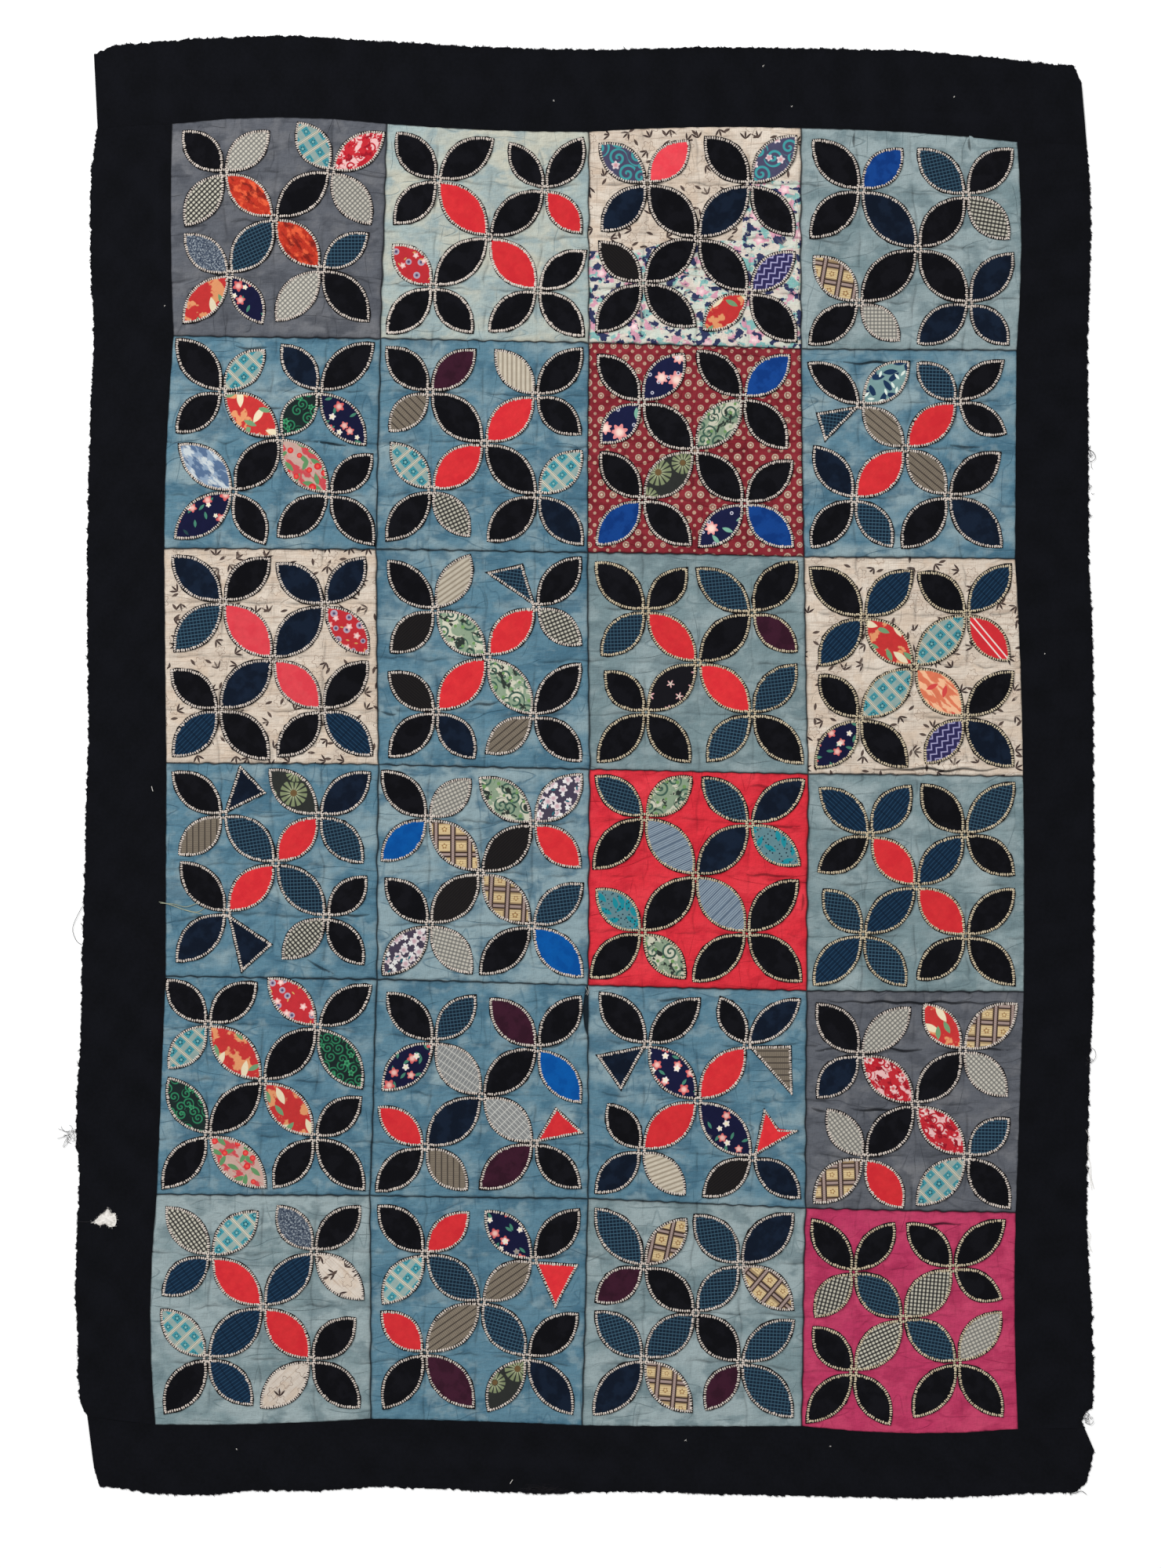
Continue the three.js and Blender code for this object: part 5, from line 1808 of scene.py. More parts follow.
@dataclass
class BlockCloth:
    """One block of the field: its ground sheet, its petals and their whipped edges."""

    block: Block
    cells: int = 4
    cell_size: float = 73.0
    half_cell: tuple[float, ...] = (0, 0.009, 0.026, 0.055, 0.1, 0.15, 0.21, 0.27, 0.335, 0.4, 0.465)
    wall_foot: float = 0.15
    seam_z: float = 0.85
    seam_roll: float = 2.2
    level: float = 1.25
    least: float = 0.6
    most: float = 2.5
    puff: float = 0.5
    puckers: tuple[Wave, ...] = (Wave(27, 0.36), Wave(14, 0.27, 3))
    strays: tuple[Wave, ...] = (Wave(55, 1.6, 61), Wave(47, 1.6, 67))
    stray_rim: float = 9.0
    seam_strays: tuple[Wave, ...] = (Wave(26, 0.7, 61), Wave(19, 0.7, 67))
    free_rim: float = 16.0
    free_calm: float = 0.7
    level_crease: float = 0.85
    upright_crease: float = 0.6
    crease_reach: float = 2.4
    crease_bank: tuple[float, float, float] = (0.35, 6.5, 3.5)
    # How much painted shade, with soil, the creases hold, and how far it reaches from creases and seams
    crease_shade_and_soil: float = 0.5
    shade_and_soil_reach: float = 1.4
    crease_mean: float = 0.45
    crease_wave: Wave = Wave(52, 0.75, 13)
    crease_apart: float = 91.0
    gathers: Wave = Wave(13, 0.42, 23)
    gathers_apart: float = 77.0
    gather_start: float = 3.0
    gather_reach: float = 15.0
    # Painted shade on the walls down the ground's sides
    wall_shade: float = 0.9
    # A wider soft painted shade beside the seams, and how far it reaches
    wide_seam_shade: float = 0.07
    wide_seam_shade_reach: float = 5.0
    # How much darker the ground is in a ragged band along its free edges
    edge_darkening: float = 0.9
    edge_darkening_least: float = 0.5
    edge_darkening_wave: Wave = Wave(9, 0.5, 29)
    roll: float = 300.0
    # Across a crease's lip: distance from its line, share of its height, and painted shadow below its steep
    # side
    lip_section: tuple[tuple[float, ...], ...] = (
        (9.0, -0.4, 0.0), (3.5, 0.55, 0.0), (0.6, 1.0, 0.1),
        (-0.8, 0.25, 1.0), (-3.0, 0.18, 0.85), (-4.8, -0.55, 0.0),
    )
    lip_step: float = 5.0
    lip_lift: float = 0.16
    lip_sink: float = 0.3
    lip_wander: Wave = Wave(40, 1.4)
    lip_end: float = 0.04
    lip_roundness: float = 0.7
    lip_narrow: float = 0.1
    half_width_least: float = 8.0
    half_width_share: float = 0.165
    width_uneven: float = 1.5
    clear_angle: float = 0.07
    clear_at: float = 0.25
    bulge_there: float = 0.77
    heart_gap: float = 3.3
    first_seed: float = 50
    seed_step: float = 4
    level_cloth: str = "I"
    level_lean: float = 16.0
    hem: float = 0.006

    def edge(self, start: Point, end: Point, bow: float) -> Array:
        """Draws a sewn edge between two crossings, bowed to its left hand.

        Args:
            start: The first crossing.
            end: The last one.
            bow: How far it bows.

        Returns:
            One point more than there are cells.
        """
        first, last = np.array(start, float), np.array(end, float)
        shares = np.linspace(0, 1, self.cells + 1)[:, None]
        bowed = left_hand(unit(last - first)) * 4 * bow * shares * (1 - shares)
        return first + (last - first) * shares + bowed

    def lattice(self) -> Array:
        """Finds the crossings of the block's seams and creases.

        Returns:
            Five by five points, from the top left.
        """
        row, col = self.block.row, self.block.col
        places = {Side.TOP: col, Side.BOTTOM: col, Side.LEFT: row, Side.RIGHT: row}
        bows = dict.fromkeys(Side, 0) | {side: BOWS[side][places[side] - 1] for side in self.block.free}
        upper, lower = SEAM_LINES[row - 1][col - 1 : col + 1], SEAM_LINES[row][col - 1 : col + 1]
        net = np.zeros((self.cells + 1, self.cells + 1, 2))
        for way in Way:
            net[3 if way.low else 1, 3 if way.right else 1] = self.block.heart(way)
        net[2, 2] = self.block.mid
        net[2, 1::2] = (net[1, 1::2] + net[3, 1::2]) / 2
        net[1::2, 2] = (net[1::2, 1] + net[1::2, 3]) / 2
        net[0] = self.edge(*upper, bows[Side.TOP])
        net[-1] = self.edge(*lower, -bows[Side.BOTTOM])
        net[:, 0] = self.edge(upper[0], lower[0], -bows[Side.LEFT])
        net[:, -1] = self.edge(upper[1], lower[1], bows[Side.RIGHT])
        return net

    def net(self) -> Pair:
        """Spreads the ground's points, closer together along seams and creases.

        Returns:
            The points by row, and the number of cells to each row or column.
        """
        shares = [*self.half_cell, *(1 - share for share in self.half_cell[:0:-1])]
        steps = [cell + share for cell in range(self.cells) for share in shares]
        marks = np.array([*steps, self.cells], float)
        cell = np.minimum(marks.astype(int), self.cells - 1)
        ends = (1 - (marks - cell), marks - cell)
        net = self.lattice()
        places = np.zeros((len(marks), len(marks), 2))
        for low in range(2):
            for right in range(2):
                corner = net[cell[:, None] + low, cell[None, :] + right]
                places += corner * (ends[low][:, None] * ends[right][None, :])[:, :, None]
        return places, marks

    def strayed(self, places: Array, away: Gaps) -> Array:
        """Moves the ground's points a little, so that neither creases nor seams run straight.

        Args:
            places: The points.
            away: How far they lie from each side.

        Returns:
            The points moved.
        """
        inner = 1 - near(np.minimum.reduce([*away.values()]), self.stray_rim)
        calm = 1 - self.free_calm * near(self.outer(away), self.free_rim)
        creases = np.column_stack([wave.over(places, self.block.seed) for wave in self.strays])
        seams = np.column_stack([wave.over(places, 0) for wave in self.seam_strays])
        return places + creases * inner[:, None] + seams * calm[:, None]

    def outer(self, away: Gaps) -> Array:
        """Gives the distance from the nearest free side, which is endless where no side is free."""
        endless = np.full(len(away[Side.TOP]), np.inf)
        return np.minimum.reduce([endless, *(away[side] for side in self.block.free)])

    def creased(self, places: Array, line: Array, along: int, depth: float) -> Pair:
        """Presses in the creases that run one way through the block.

        Args:
            places: The ground's points.
            line: How many cells they lie from the first side that runs that way.
            along: Which coordinate follows the creases.
            depth: How deep they are.

        Returns:
            What they add to the heights, and how much painted shade and soil they hold.
        """
        crease = np.round(line)
        away = np.abs(line - crease) * self.cell_size
        lie = np.column_stack([places[:, along], crease * self.crease_apart])
        strength = np.clip(self.crease_mean + self.crease_wave.over(lie, self.block.seed), 0, 1)
        inner = (crease > 0) & (crease < self.cells)
        strength = depth * SMOOTH.get(self.block.ground, 1.0) * strength * inner
        bank, bank_away, bank_reach = self.crease_bank
        heights = strength * (bank * near(away - bank_away, bank_reach) - near(away, self.crease_reach))
        # Painted shade, with soil, along the bottom of each crease
        return heights, self.crease_shade_and_soil / self.level_crease * strength * near(away, self.shade_and_soil_reach)

    def relief(
        self, places: Array, down: Array, across: Array, away: Gaps
    ) -> Pair:
        """Puffs the ground between its creases, gathers it along its sides and rolls it down into its seams.

        Args:
            places: The ground's points.
            down: How many cells they lie from the top.
            across: How many cells they lie from the left.
            away: How far they lie from each side.

        Returns:
            The heights, and the soil with painted shade.
        """
        seed = self.block.seed
        swell = np.sqrt(np.abs(np.sin(math.pi * down) * np.sin(math.pi * across)))
        heights = self.level + self.puff * swell + sum(wave.over(places, seed) for wave in self.puckers)
        level_heights, soil_and_shade = self.creased(places, down, 0, self.level_crease)
        upright_heights, upright_shade_and_soil = self.creased(places, across, 1, self.upright_crease)
        heights += level_heights + upright_heights
        for number, (side, gap) in enumerate(away.items()):
            along = 0 if side in (Side.TOP, Side.BOTTOM) else 1
            lie = np.column_stack([places[:, along], np.full(len(places), self.gathers_apart * number)])
            fade = np.exp(-gap / self.gather_reach) * (1 - near(gap, self.gather_start))
            heights += self.gathers.over(lie, seed + number) * fade
        rim = np.minimum.reduce([*away.values()])
        heights = np.clip(heights, self.least, self.most) - self.seam_z
        heights = self.seam_z + heights * (1 - near(rim, self.seam_roll))
        sewn = np.minimum.reduce([gap for side, gap in away.items() if side not in self.block.free])
        # Painted shade, with soil, in the seams' ditches and softly beside them
        soil_and_shade += upright_shade_and_soil + near(sewn, self.shade_and_soil_reach) + self.wide_seam_shade * near(sewn, self.wide_seam_shade_reach)
        # Darker in a ragged band along the free edges
        frayed = self.edge_darkening_least + np.abs(self.edge_darkening_wave.over(places, seed))
        return heights, np.clip(soil_and_shade + self.edge_darkening * near(self.outer(away), frayed), 0, 1)

    def ground(self, finish: Finish) -> Piece:
        """Makes the ground sheet, with walls down its sides and its sharp creases.

        Args:
            finish: Its material.

        Returns:
            The piece.
        """
        grid, marks = self.net()
        count = len(marks)
        down, across = np.repeat(marks, count), np.tile(marks, count)
        cells = (down, self.cells - down, across, self.cells - across)
        away = {side: gap * self.cell_size for side, gap in zip(Side, cells)}
        places = self.strayed(grid.reshape(-1, 2), away)
        heights, soil_and_shade = self.relief(places, down, across, away)
        patch = Patch()
        torn = self.block.tag == RIP.tag
        points = lifted(RIP.opened(places) if torn else places, heights)
        weave = lifted(points[:, :2] - np.array(self.block.mid), self.block.faded)
        if self.block.ground is not Ground.PIECED:
            weave[:, :2] += [self.roll * (1 + uneven(self.block.seed + number)) for number in (1, 2)]
        patch.add(points, netted(count, count), soil_and_shade, weave)
        order = np.arange(count * count).reshape(count, count)
        rim = np.concatenate([order[0], order[1:, -1], order[-1, -2::-1], order[-2:0:-1, 0]])
        wall = np.concatenate([points[rim], lifted(points[rim, :2], self.wall_foot)])
        # The walls are painted dark, as shade
        patch.add(wall, ringed(2, len(rim)), self.wall_shade, np.tile(weave[rim], (2, 1)))
        if torn:
            bed = RIP.bed()
            # The cloth under the open seam takes the full soil-and-shade mark: dark cloth with painted shade
            patch.add(lifted(bed, RIP.bed_z), [(0, 1, 2, 3)], 1.0, lifted(bed, 0.0))
        for fold in FOLDS.get(self.block.tag, ()):
            self.lip(patch, fold, points, weave)
        made = patch.piece(f"ground_{self.block.tag}", [finish], "soil_and_shade")
        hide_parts(f"panel_{self.block.tag}")
        return made

    @staticmethod
    def height_at(points: Array, places: Array, nearest: int = 4, soft: float = 0.5) -> Array:
        """Gives the ground's height at some places, from the points nearest each.

        Args:
            points: The ground's points.
            places: The places.
            nearest: How many points count.
            soft: What keeps a very near one from counting alone.

        Returns:
            The heights.
        """
        gaps = np.sum((points[None, :, :2] - places[:, None]) ** 2, axis=2)
        closest = np.argpartition(gaps, nearest, axis=1)[:, :nearest]
        share = 1 / (np.take_along_axis(gaps, closest, axis=1) + soft)
        return np.sum(points[closest, 2] * share, axis=1) / np.sum(share, axis=1)

    def lip(self, patch: Patch, fold: Fold, points: Array, weave: Array) -> None:
        """Lays the lip of a sharp crease on the ground.

        Args:
            patch: The ground.
            fold: The crease.
            points: The ground's points.
            weave: The cloth's coordinates at them.
        """
        line = stepped([fold.start, fold.end], self.lip_step)
        hand = left_hand(unit(line[-1] - line[0]))
        line = line + hand * self.lip_wander.over(line, self.block.seed + fold.start[0])[:, None]
        shares = np.linspace(self.lip_end, 1 - self.lip_end, len(line))
        fade = np.sin(shares * math.pi) ** self.lip_roundness
        rows, marks = [], []
        for away, share, mark in self.lip_section:
            places = line + hand * (away * (self.lip_narrow + (1 - self.lip_narrow) * fade))[:, None]
            lift = (share * fold.lip + self.lip_lift) * fade - self.lip_sink * (1 - fade)
            rows.append(lifted(places, self.height_at(points, places) + lift))
            # The lip's marks are painted shadow at its foot
            marks.append(mark * fade * min(1.0, fold.lip) ** 2)
        made = np.concatenate(rows)
        first = int(np.argmin(np.sum((points[:, :2] - line[0]) ** 2, axis=1)))
        woven = weave[first] + lifted(made[:, :2] - points[first, :2], 0.0)
        patch.add(made, netted(len(rows), len(line)), np.concatenate(marks), woven)

    def half_width(self, axis: Array, beside: Array, seed: float) -> float:
        """Gives half a petal's width on the side of one neighbour, which it never crosses.

        Args:
            axis: From the petal's heart to its end.
            beside: From the same heart to the neighbour's end.
            seed: The seed of its unevenness.

        Returns:
            The half width.
        """
        length = float(np.linalg.norm(axis))
        wanted = self.half_width_least + self.half_width_share * length + self.width_uneven * uneven(seed)
        angle = math.atan2(abs(float(cross(axis, beside))), float(axis @ beside)) / 2 - self.clear_angle
        return min(wanted, self.clear_at * length * math.tan(angle) / self.bulge_there)

    def ends(self, quarter: Way) -> dict[Way, Array]:
        """Finds where the petals of one quarter end.

        Args:
            quarter: The quarter.

        Returns:
            The ends by the ways in which the petals point.
        """
        inner = quarter.turned(2)
        tips = dict(zip((way for way in READING if way is not inner), self.block.quarter(quarter)[1:]))
        tips[inner] = self.block.mid
        for way in Way:
            cut = CUT_ENDS.get(f"{self.block.tag} {quarter.value} {way.value}")
            if cut:
                tips[way] = self.block.heart(quarter) + (np.array(cut.left) + np.array(cut.right)) / 2
        return {way: np.array(tip, float) for way, tip in tips.items()}

    def petals(self) -> dict[Way, list[Petal]]:
        """Cuts the block's petals. Stripes run along them and indigo checks nearly level, if no turn is given.

        Returns:
            Four petals for each quarter.
        """
        letters = self.block.chart.split()
        made: dict[Way, list[Petal]] = {quarter: [] for quarter in Way}
        seed = self.block.seed + self.first_seed
        for quarter in Way:
            heart, ends = self.block.heart(quarter), self.ends(quarter)
            for way in Way:
                axis = ends[way] - heart
                gap = unit(axis) * self.heart_gap
                inner = way is quarter.turned(2)
                letter = letters[2 * quarter.low + way.low][2 * quarter.right + way.right]
                place = f"{self.block.tag} {quarter.value} {way.value}"
                grain = math.degrees(math.atan2(axis[1], axis[0]))
                if letter == self.level_cloth:
                    grain = self.level_lean * uneven(seed + 5)
                left, right = (
                    self.half_width(axis, ends[way.turned(turn)] - heart, seed + number)
                    for number, turn in ((2, 1), (3, -1))
                )
                petal = Petal(
                    heart=heart,
                    start=heart + gap,
                    end=ends[way] - gap if inner else ends[way],
                    left=left,
                    right=right,
                    letter=letter,
                    degrees=TURNS.get(place, grain),
                    seed=seed,
                    inner=inner,
                    cut=CUT_ENDS.get(place),
                )
                made[quarter].append(petal)
                seed += self.seed_step
        return made

    def dress(
        self,
        cloths: dict[str, Finish],
        grounds: dict[Ground, Finish],
        threads: dict[Thread, Finish],
        cord: Finish,
    ) -> None:
        """Makes every piece of the block.

        Args:
            cloths: The petals' materials by letter.
            grounds: The grounds' materials.
            threads: The threads' materials.
            cord: The cord's material.
        """
        tag = self.block.tag
        ground = self.ground(grounds[self.block.ground])
        edging = Edging()
        cords, beads = Patch(), Patch()
        flowers = self.petals()
        for way, petals in flowers.items():
            flower = Patch()
            letters = sorted({petal.letter for petal in petals})
            for petal in petals:
                points, faces = petal.cloth()
                flower.add(points, faces, 0.0, petal.weave(points[:, :2]), letters.index(petal.letter))
                edging.cord(cords, petal)
                edging.beads(beads, petal, f"{tag} {way.value}" in DENSE)
            made = flower.piece(f"flower_{tag}_{way.value}", [cloths[letter] for letter in letters], "soil_and_shade")
            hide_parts(f"petals_{tag}")
            flat_area = sum(area(petal.loop()) for petal in petals) * MM * MM
            starts = [petal.start for petal in petals]
            edging.bridge(cords, beads, petals[0].heart, starts, petals[0].seed + 1)
        inner = [next(petal.end for petal in petals if petal.inner) for petals in flowers.values()]
        edging.bridge(cords, beads, np.array(self.block.mid, float), inner, self.block.seed + 9)
        cord_piece = cords.piece(f"cord_{tag}", [cord], "tone")
        bead_piece = beads.piece(f"stitches_{tag}", [threads[self.block.thread]], "tone")


@dataclass
class Strip:
    """One strip of the border, from under the field's edge out to its frayed edge."""

    side: Side
    inner: Array
    seed: float
    hole: Sequence[Point] = ()
    step: float = 2.5
    columns: int = 12
    fine_columns: int = 26
    level: float = 0.95
    least: float = 0.5
    edge_z: float = 0.55
    wall_foot: float = 0.02
    tuck: float = 3.0
    rolled_in: float = 0.12
    rolled_out: float = 0.05
    roundness: float = 0.7
    puckers: tuple[Wave, ...] = (Wave(70, 0.3, 5), Wave(26, 0.16, 9))
    rough: tuple[Wave, ...] = (Wave(6.5, 0.75), Wave(14, 0.65, 3))
    fold_half: float = 4.5
    fold_fade: float = 30.0
    hole_rim: float = 2.2
    hair_step: float = 0.75
    hair_root: float = 0.6
    hair_clumps: Wave = Wave(11, 0.8, 41)
    hair_clump_limits: Point = (0.25, 2.6)
    hair_least: float = 0.5
    hair_more: float = 1.4
    hair_lean: float = 0.9
    hair_half: Point = (0.25, 0.95)
    hair_top: Point = (0.2, 0.9)
    tone: float = 0.45
    tones: Wave = Wave(55, 0.1, 17)
    painted_height_light: float = 0.4
    # How much lighter the strip is painted where it stands higher: painted light on folds and puckers, painted
    # shade where it rolls down
    wall_shade_tone: float = 0.3
    # Painted shade on the strip's outer wall

    @property
    def outer(self) -> Array:
        """The corners of the frayed edge."""
        return np.array(EDGES[self.side], float)

    def rails(self) -> Pair:
        """Walks along both long edges in step.

        Returns:
            The inner and the outer edge.
        """
        outer, line = stepped(self.outer, self.step), stepped(self.inner, self.step)
        inner = between(np.linspace(0, len(line) - 1, len(outer)), np.arange(len(line)), line)
        away = unit(outer - inner)
        rough = sum(wave.over(outer, self.seed) for wave in self.rough)
        return inner - away * self.tuck, outer + away * rough[:, None]

    def cloth(self, finish: Finish) -> Piece:
        """Makes the strip.

        Args:
            finish: Its material.

        Returns:
            The piece.
        """
        inner, outer = self.rails()
        shares = np.linspace(0, 1, (self.fine_columns if self.hole else self.columns) + 1)
        grid = inner[:, None, :] + (outer - inner)[:, None, :] * shares[None, :, None]
        places, share = grid.reshape(-1, 2), np.tile(shares, len(inner))
        heights = self.level + sum(wave.over(places, self.seed) for wave in self.puckers)
        for fold in FOLDS[self.side.value]:
            heights += fold.lip * self.ridge(places, fold)
        rolled = np.clip(np.minimum(share / self.rolled_in, (1 - share) / self.rolled_out), 0, 1)
        heights = self.edge_z + (np.maximum(heights, self.least) - self.edge_z) * rolled**self.roundness
        faces, wall = netted(len(inner), len(shares)), ringed(2, len(inner))[:-1]
        if cross(grid[1, 0] - grid[0, 0], grid[0, 1] - grid[0, 0]) > 0:
            wall = [face[::-1] for face in wall]
        else:
            faces = [face[::-1] for face in faces]
        if self.hole:
            places, faces = self.worn(places, faces)
        points = lifted(places, heights)
        # Painted light: lighter where the strip stands higher, darker where it rolls down
        tone = self.tone + self.tones.over(places, self.seed) + self.painted_height_light * (heights - self.level)
        patch = Patch()
        patch.add(points, faces, np.clip(tone, 0, 1))
        top = points[len(shares) - 1 :: len(shares)]
        # The outer wall is painted darker, as shade
        patch.add(np.concatenate([top, lifted(top[:, :2], self.wall_foot)]), wall, self.wall_shade_tone)
        made = patch.piece(f"strip_{self.side.value}", [finish], "tone")
        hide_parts(f"border_{self.side.value}")
        return made

    def ridge(self, places: Array, fold: Fold) -> Array:
        """Raises a soft fold.

        Args:
            places: The strip's points.
            fold: The fold.

        Returns:
            Its share of height at the points.
        """
        start, end = np.array(fold.start, float), np.array(fold.end, float)
        way, length = unit(end - start), float(np.linalg.norm(end - start))
        along, across = (places - start) @ way, (places - start) @ left_hand(way)
        fade = np.clip(np.minimum(along, length - along) / self.fold_fade + 0.5, 0, 1)
        return fade * near(across, self.fold_half)

    def worn(self, places: Array, faces: Faces) -> tuple[Array, Faces]:
        """Opens the worn hole.

        Args:
            places: The strip's points.
            faces: Its faces.

        Returns:
            The points, with the nearest ones on the hole's rim, and the faces left.
        """
        rim = np.array(self.hole, float)
        turn, gap, spot = np.zeros(len(places)), np.full(len(places), np.inf), places.copy()
        for start, end in zip(rim, np.roll(rim, -1, axis=0)):
            way = end - start
            foot = start + np.clip((places - start) @ way / (way @ way), 0, 1)[:, None] * way
            away = np.linalg.norm(places - foot, axis=1)
            spot[away < gap] = foot[away < gap]
            gap = np.minimum(gap, away)
            first, last = start - places, end - places
            turn += np.arctan2(cross(first, last), np.sum(first * last, axis=1))
        close = gap < self.hole_rim
        gone = close | (np.abs(turn) > math.pi)
        moved = np.where(close[:, None], spot, places)
        return moved, [face for face in faces if not all(gone[corner] for corner in face)]

    def hairs(self, patch: Patch) -> None:
        """Frays the outer edge.

        Args:
            patch: The piece that the hairs join.
        """
        inner, outer = self.rails()
        count = int(run(outer)[-1] / self.hair_step)
        chance = np.random.default_rng(int(self.seed))
        marks = np.sort(chance.uniform(0, len(outer) - 1, count))
        roots = between(marks, np.arange(len(outer)), outer)
        ways = unit(between(marks, np.arange(len(outer)), outer - inner))
        along = left_hand(ways)
        clump = np.clip(1 + self.hair_clumps.over(roots, self.seed), *self.hair_clump_limits)
        long = clump * (self.hair_least + self.hair_more * chance.uniform(0, 1, count) ** 3)
        lean = chance.normal(0, self.hair_lean, count)
        wide = along * chance.uniform(*self.hair_half, count)[:, None]
        foot = roots - ways * self.hair_root
        tips = roots + ways * long[:, None] + along * (lean * long)[:, None]
        heights = np.full((count, 3), self.edge_z)
        heights[:, 2] = chance.uniform(*self.hair_top, count)
        places = np.stack([foot - wide, foot + wide, tips], axis=1).reshape(-1, 2)
        faces = [(corner, corner + 1, corner + 2) for corner in range(0, 3 * count, 3)]
        patch.add(lifted(places, heights.reshape(-1)), faces, np.repeat(chance.uniform(0, 1, count), 3))


@dataclass(frozen=True)
class Strand:
    """A loose thread: the points it runs through, how thick it is and how high it lies."""

    path: tuple[Point, ...]
    radius: float = 0.3
    height: float = 0.8
    tone: float = 0.4
    sides: int = 4
    split: int = 4
    wander: Wave = Wave(9, 0.2)
    taper_end: float = 0.35
    taper: float = 2.5

    def spin(self, patch: Patch) -> None:
        """Spins the thread as a thin tube along a smooth curve.

        Args:
            patch: The piece that it joins.
        """
        ends = np.array([self.path[0], *self.path, self.path[-1]], float)
        line = []
        for before, start, end, after in zip(ends, ends[1:], ends[2:], ends[3:]):
            for share in np.arange(self.split) / self.split:
                bend = 2 * start + (end - before) * share
                bend = bend + (2 * before - 5 * start + 4 * end - after) * share**2
                line.append((bend + (3 * start - before - 3 * end + after) * share**3) / 2)
        places = np.array([*line, ends[-1]])
        hand = left_hand(unit(np.gradient(places, axis=0)))
        level = self.height + self.wander.over(places, places[0, 0])
        swell = self.taper_end + self.taper * np.sin(np.linspace(0, math.pi, len(places)))
        reach = self.radius * np.minimum(1, swell)
        rings = []
        for angle in math.tau * np.arange(self.sides) / self.sides:
            around = places + hand * (reach * math.cos(angle))[:, None]
            rings.append(lifted(around, level + reach * math.sin(angle)))
        points = np.stack(rings, axis=1).reshape(-1, 3)
        caps = [tuple(range(self.sides))[::-1], tuple(range(len(points) - self.sides, len(points)))]
        patch.add(points, ringed(len(places), self.sides) + caps, self.tone)


@dataclass(frozen=True)
class Tuft:
    """A tuft of curled fibres: its place, its spread each way, how many they are, how thick and how high."""

    place: Point
    spread: Point
    count: int
    radius: float = 0.22
    height: float = 0.8
    seed: int = 1
    curls: int = 6
    scatter: float = 0.45
    stride: float = 0.35
    bend: float = 0.8
    waver: float = 0.5
    lifts: Point = (-0.3, 0.5)

    def strands(self) -> list[Strand]:
        """Curls the fibres.

        Returns:
            The strands.
        """
        chance = np.random.default_rng(self.seed)
        made = []
        for _ in range(self.count):
            spot = np.array(self.place) + chance.normal(0, self.scatter, 2) * self.spread
            way, path = chance.uniform(0, math.tau), []
            bend = chance.normal(0, self.bend)
            for _ in range(self.curls):
                path.append((float(spot[0]), float(spot[1])))
                spot = spot + self.stride * np.array(self.spread) * (math.cos(way), math.sin(way))
                way += bend + chance.normal(0, self.waver)
            height = self.height + chance.uniform(*self.lifts)
            made.append(Strand(tuple(path), self.radius, float(height), float(chance.uniform(0, 1))))
        return made


@dataclass(frozen=True)
class Wadding:
    """White wadding that swells out of the worn hole, with fibres that stray over its rim."""

    rim: Sequence[Point]
    low: float = 0.8
    high: float = 1.6
    step: float = 1.5
    fibres: int = 170
    fibre_radius: float = 0.11
    fibre_long: float = 3.4
    fibre_points: int = 4
    fibre_roots: Point = (0.6, 1.08)
    fibre_fan: float = 0.7
    fibre_bend: float = 0.35
    fibre_strides: Point = (0.4, 1.3)
    fibre_heights: Point = (1.15, 1.7)
    fibre_tones: Point = (0.2, 1.0)
    fall: float = 0.7
    lumps: Wave = Wave(3.5, 0.2, 5)
    tone: float = 0.6
    tones: Wave = Wave(5, 0.3, 8)
    shares: tuple[float, ...] = (1.08, 0.85, 0.55, 0.25, 0.02)
    seed: int = 21

    def swell(self, patch: Patch) -> None:
        """Fills the hole.

        Args:
            patch: The piece that the wadding joins.
        """
        loop = stepped([*self.rim, self.rim[0]], self.step)[:-1]
        middle, count = loop.mean(axis=0), len(loop)
        rings = []
        for share in self.shares:
            places = middle + (loop - middle) * share
            height = self.low + (self.high - self.low) * (1 - self.fall * share)
            rings.append(lifted(places, height + self.lumps.over(places, 0)))
        points = np.concatenate(rings)
        tone = np.clip(self.tone + self.tones.over(points, 0), 0, 1)
        patch.add(points, ringed(len(rings), count), tone)
        chance = np.random.default_rng(self.seed)
        for start in chance.integers(0, count, self.fibres):
            spot = middle + (loop[start] - middle) * chance.uniform(*self.fibre_roots)
            way = math.atan2(*(loop[start] - middle)[::-1]) + chance.normal(0, self.fibre_fan)
            bend, path = chance.normal(0, self.fibre_bend), []
            for _ in range(self.fibre_points):
                path.append((float(spot[0]), float(spot[1])))
                stride = self.fibre_long / (self.fibre_points - 1) * chance.uniform(*self.fibre_strides)
                spot = spot + stride * np.array([math.cos(way), math.sin(way)])
                way += bend
            height, shade = (float(chance.uniform(*ends)) for ends in (self.fibre_heights, self.fibre_tones))
            Strand(tuple(path), self.fibre_radius, height, shade).spin(patch)


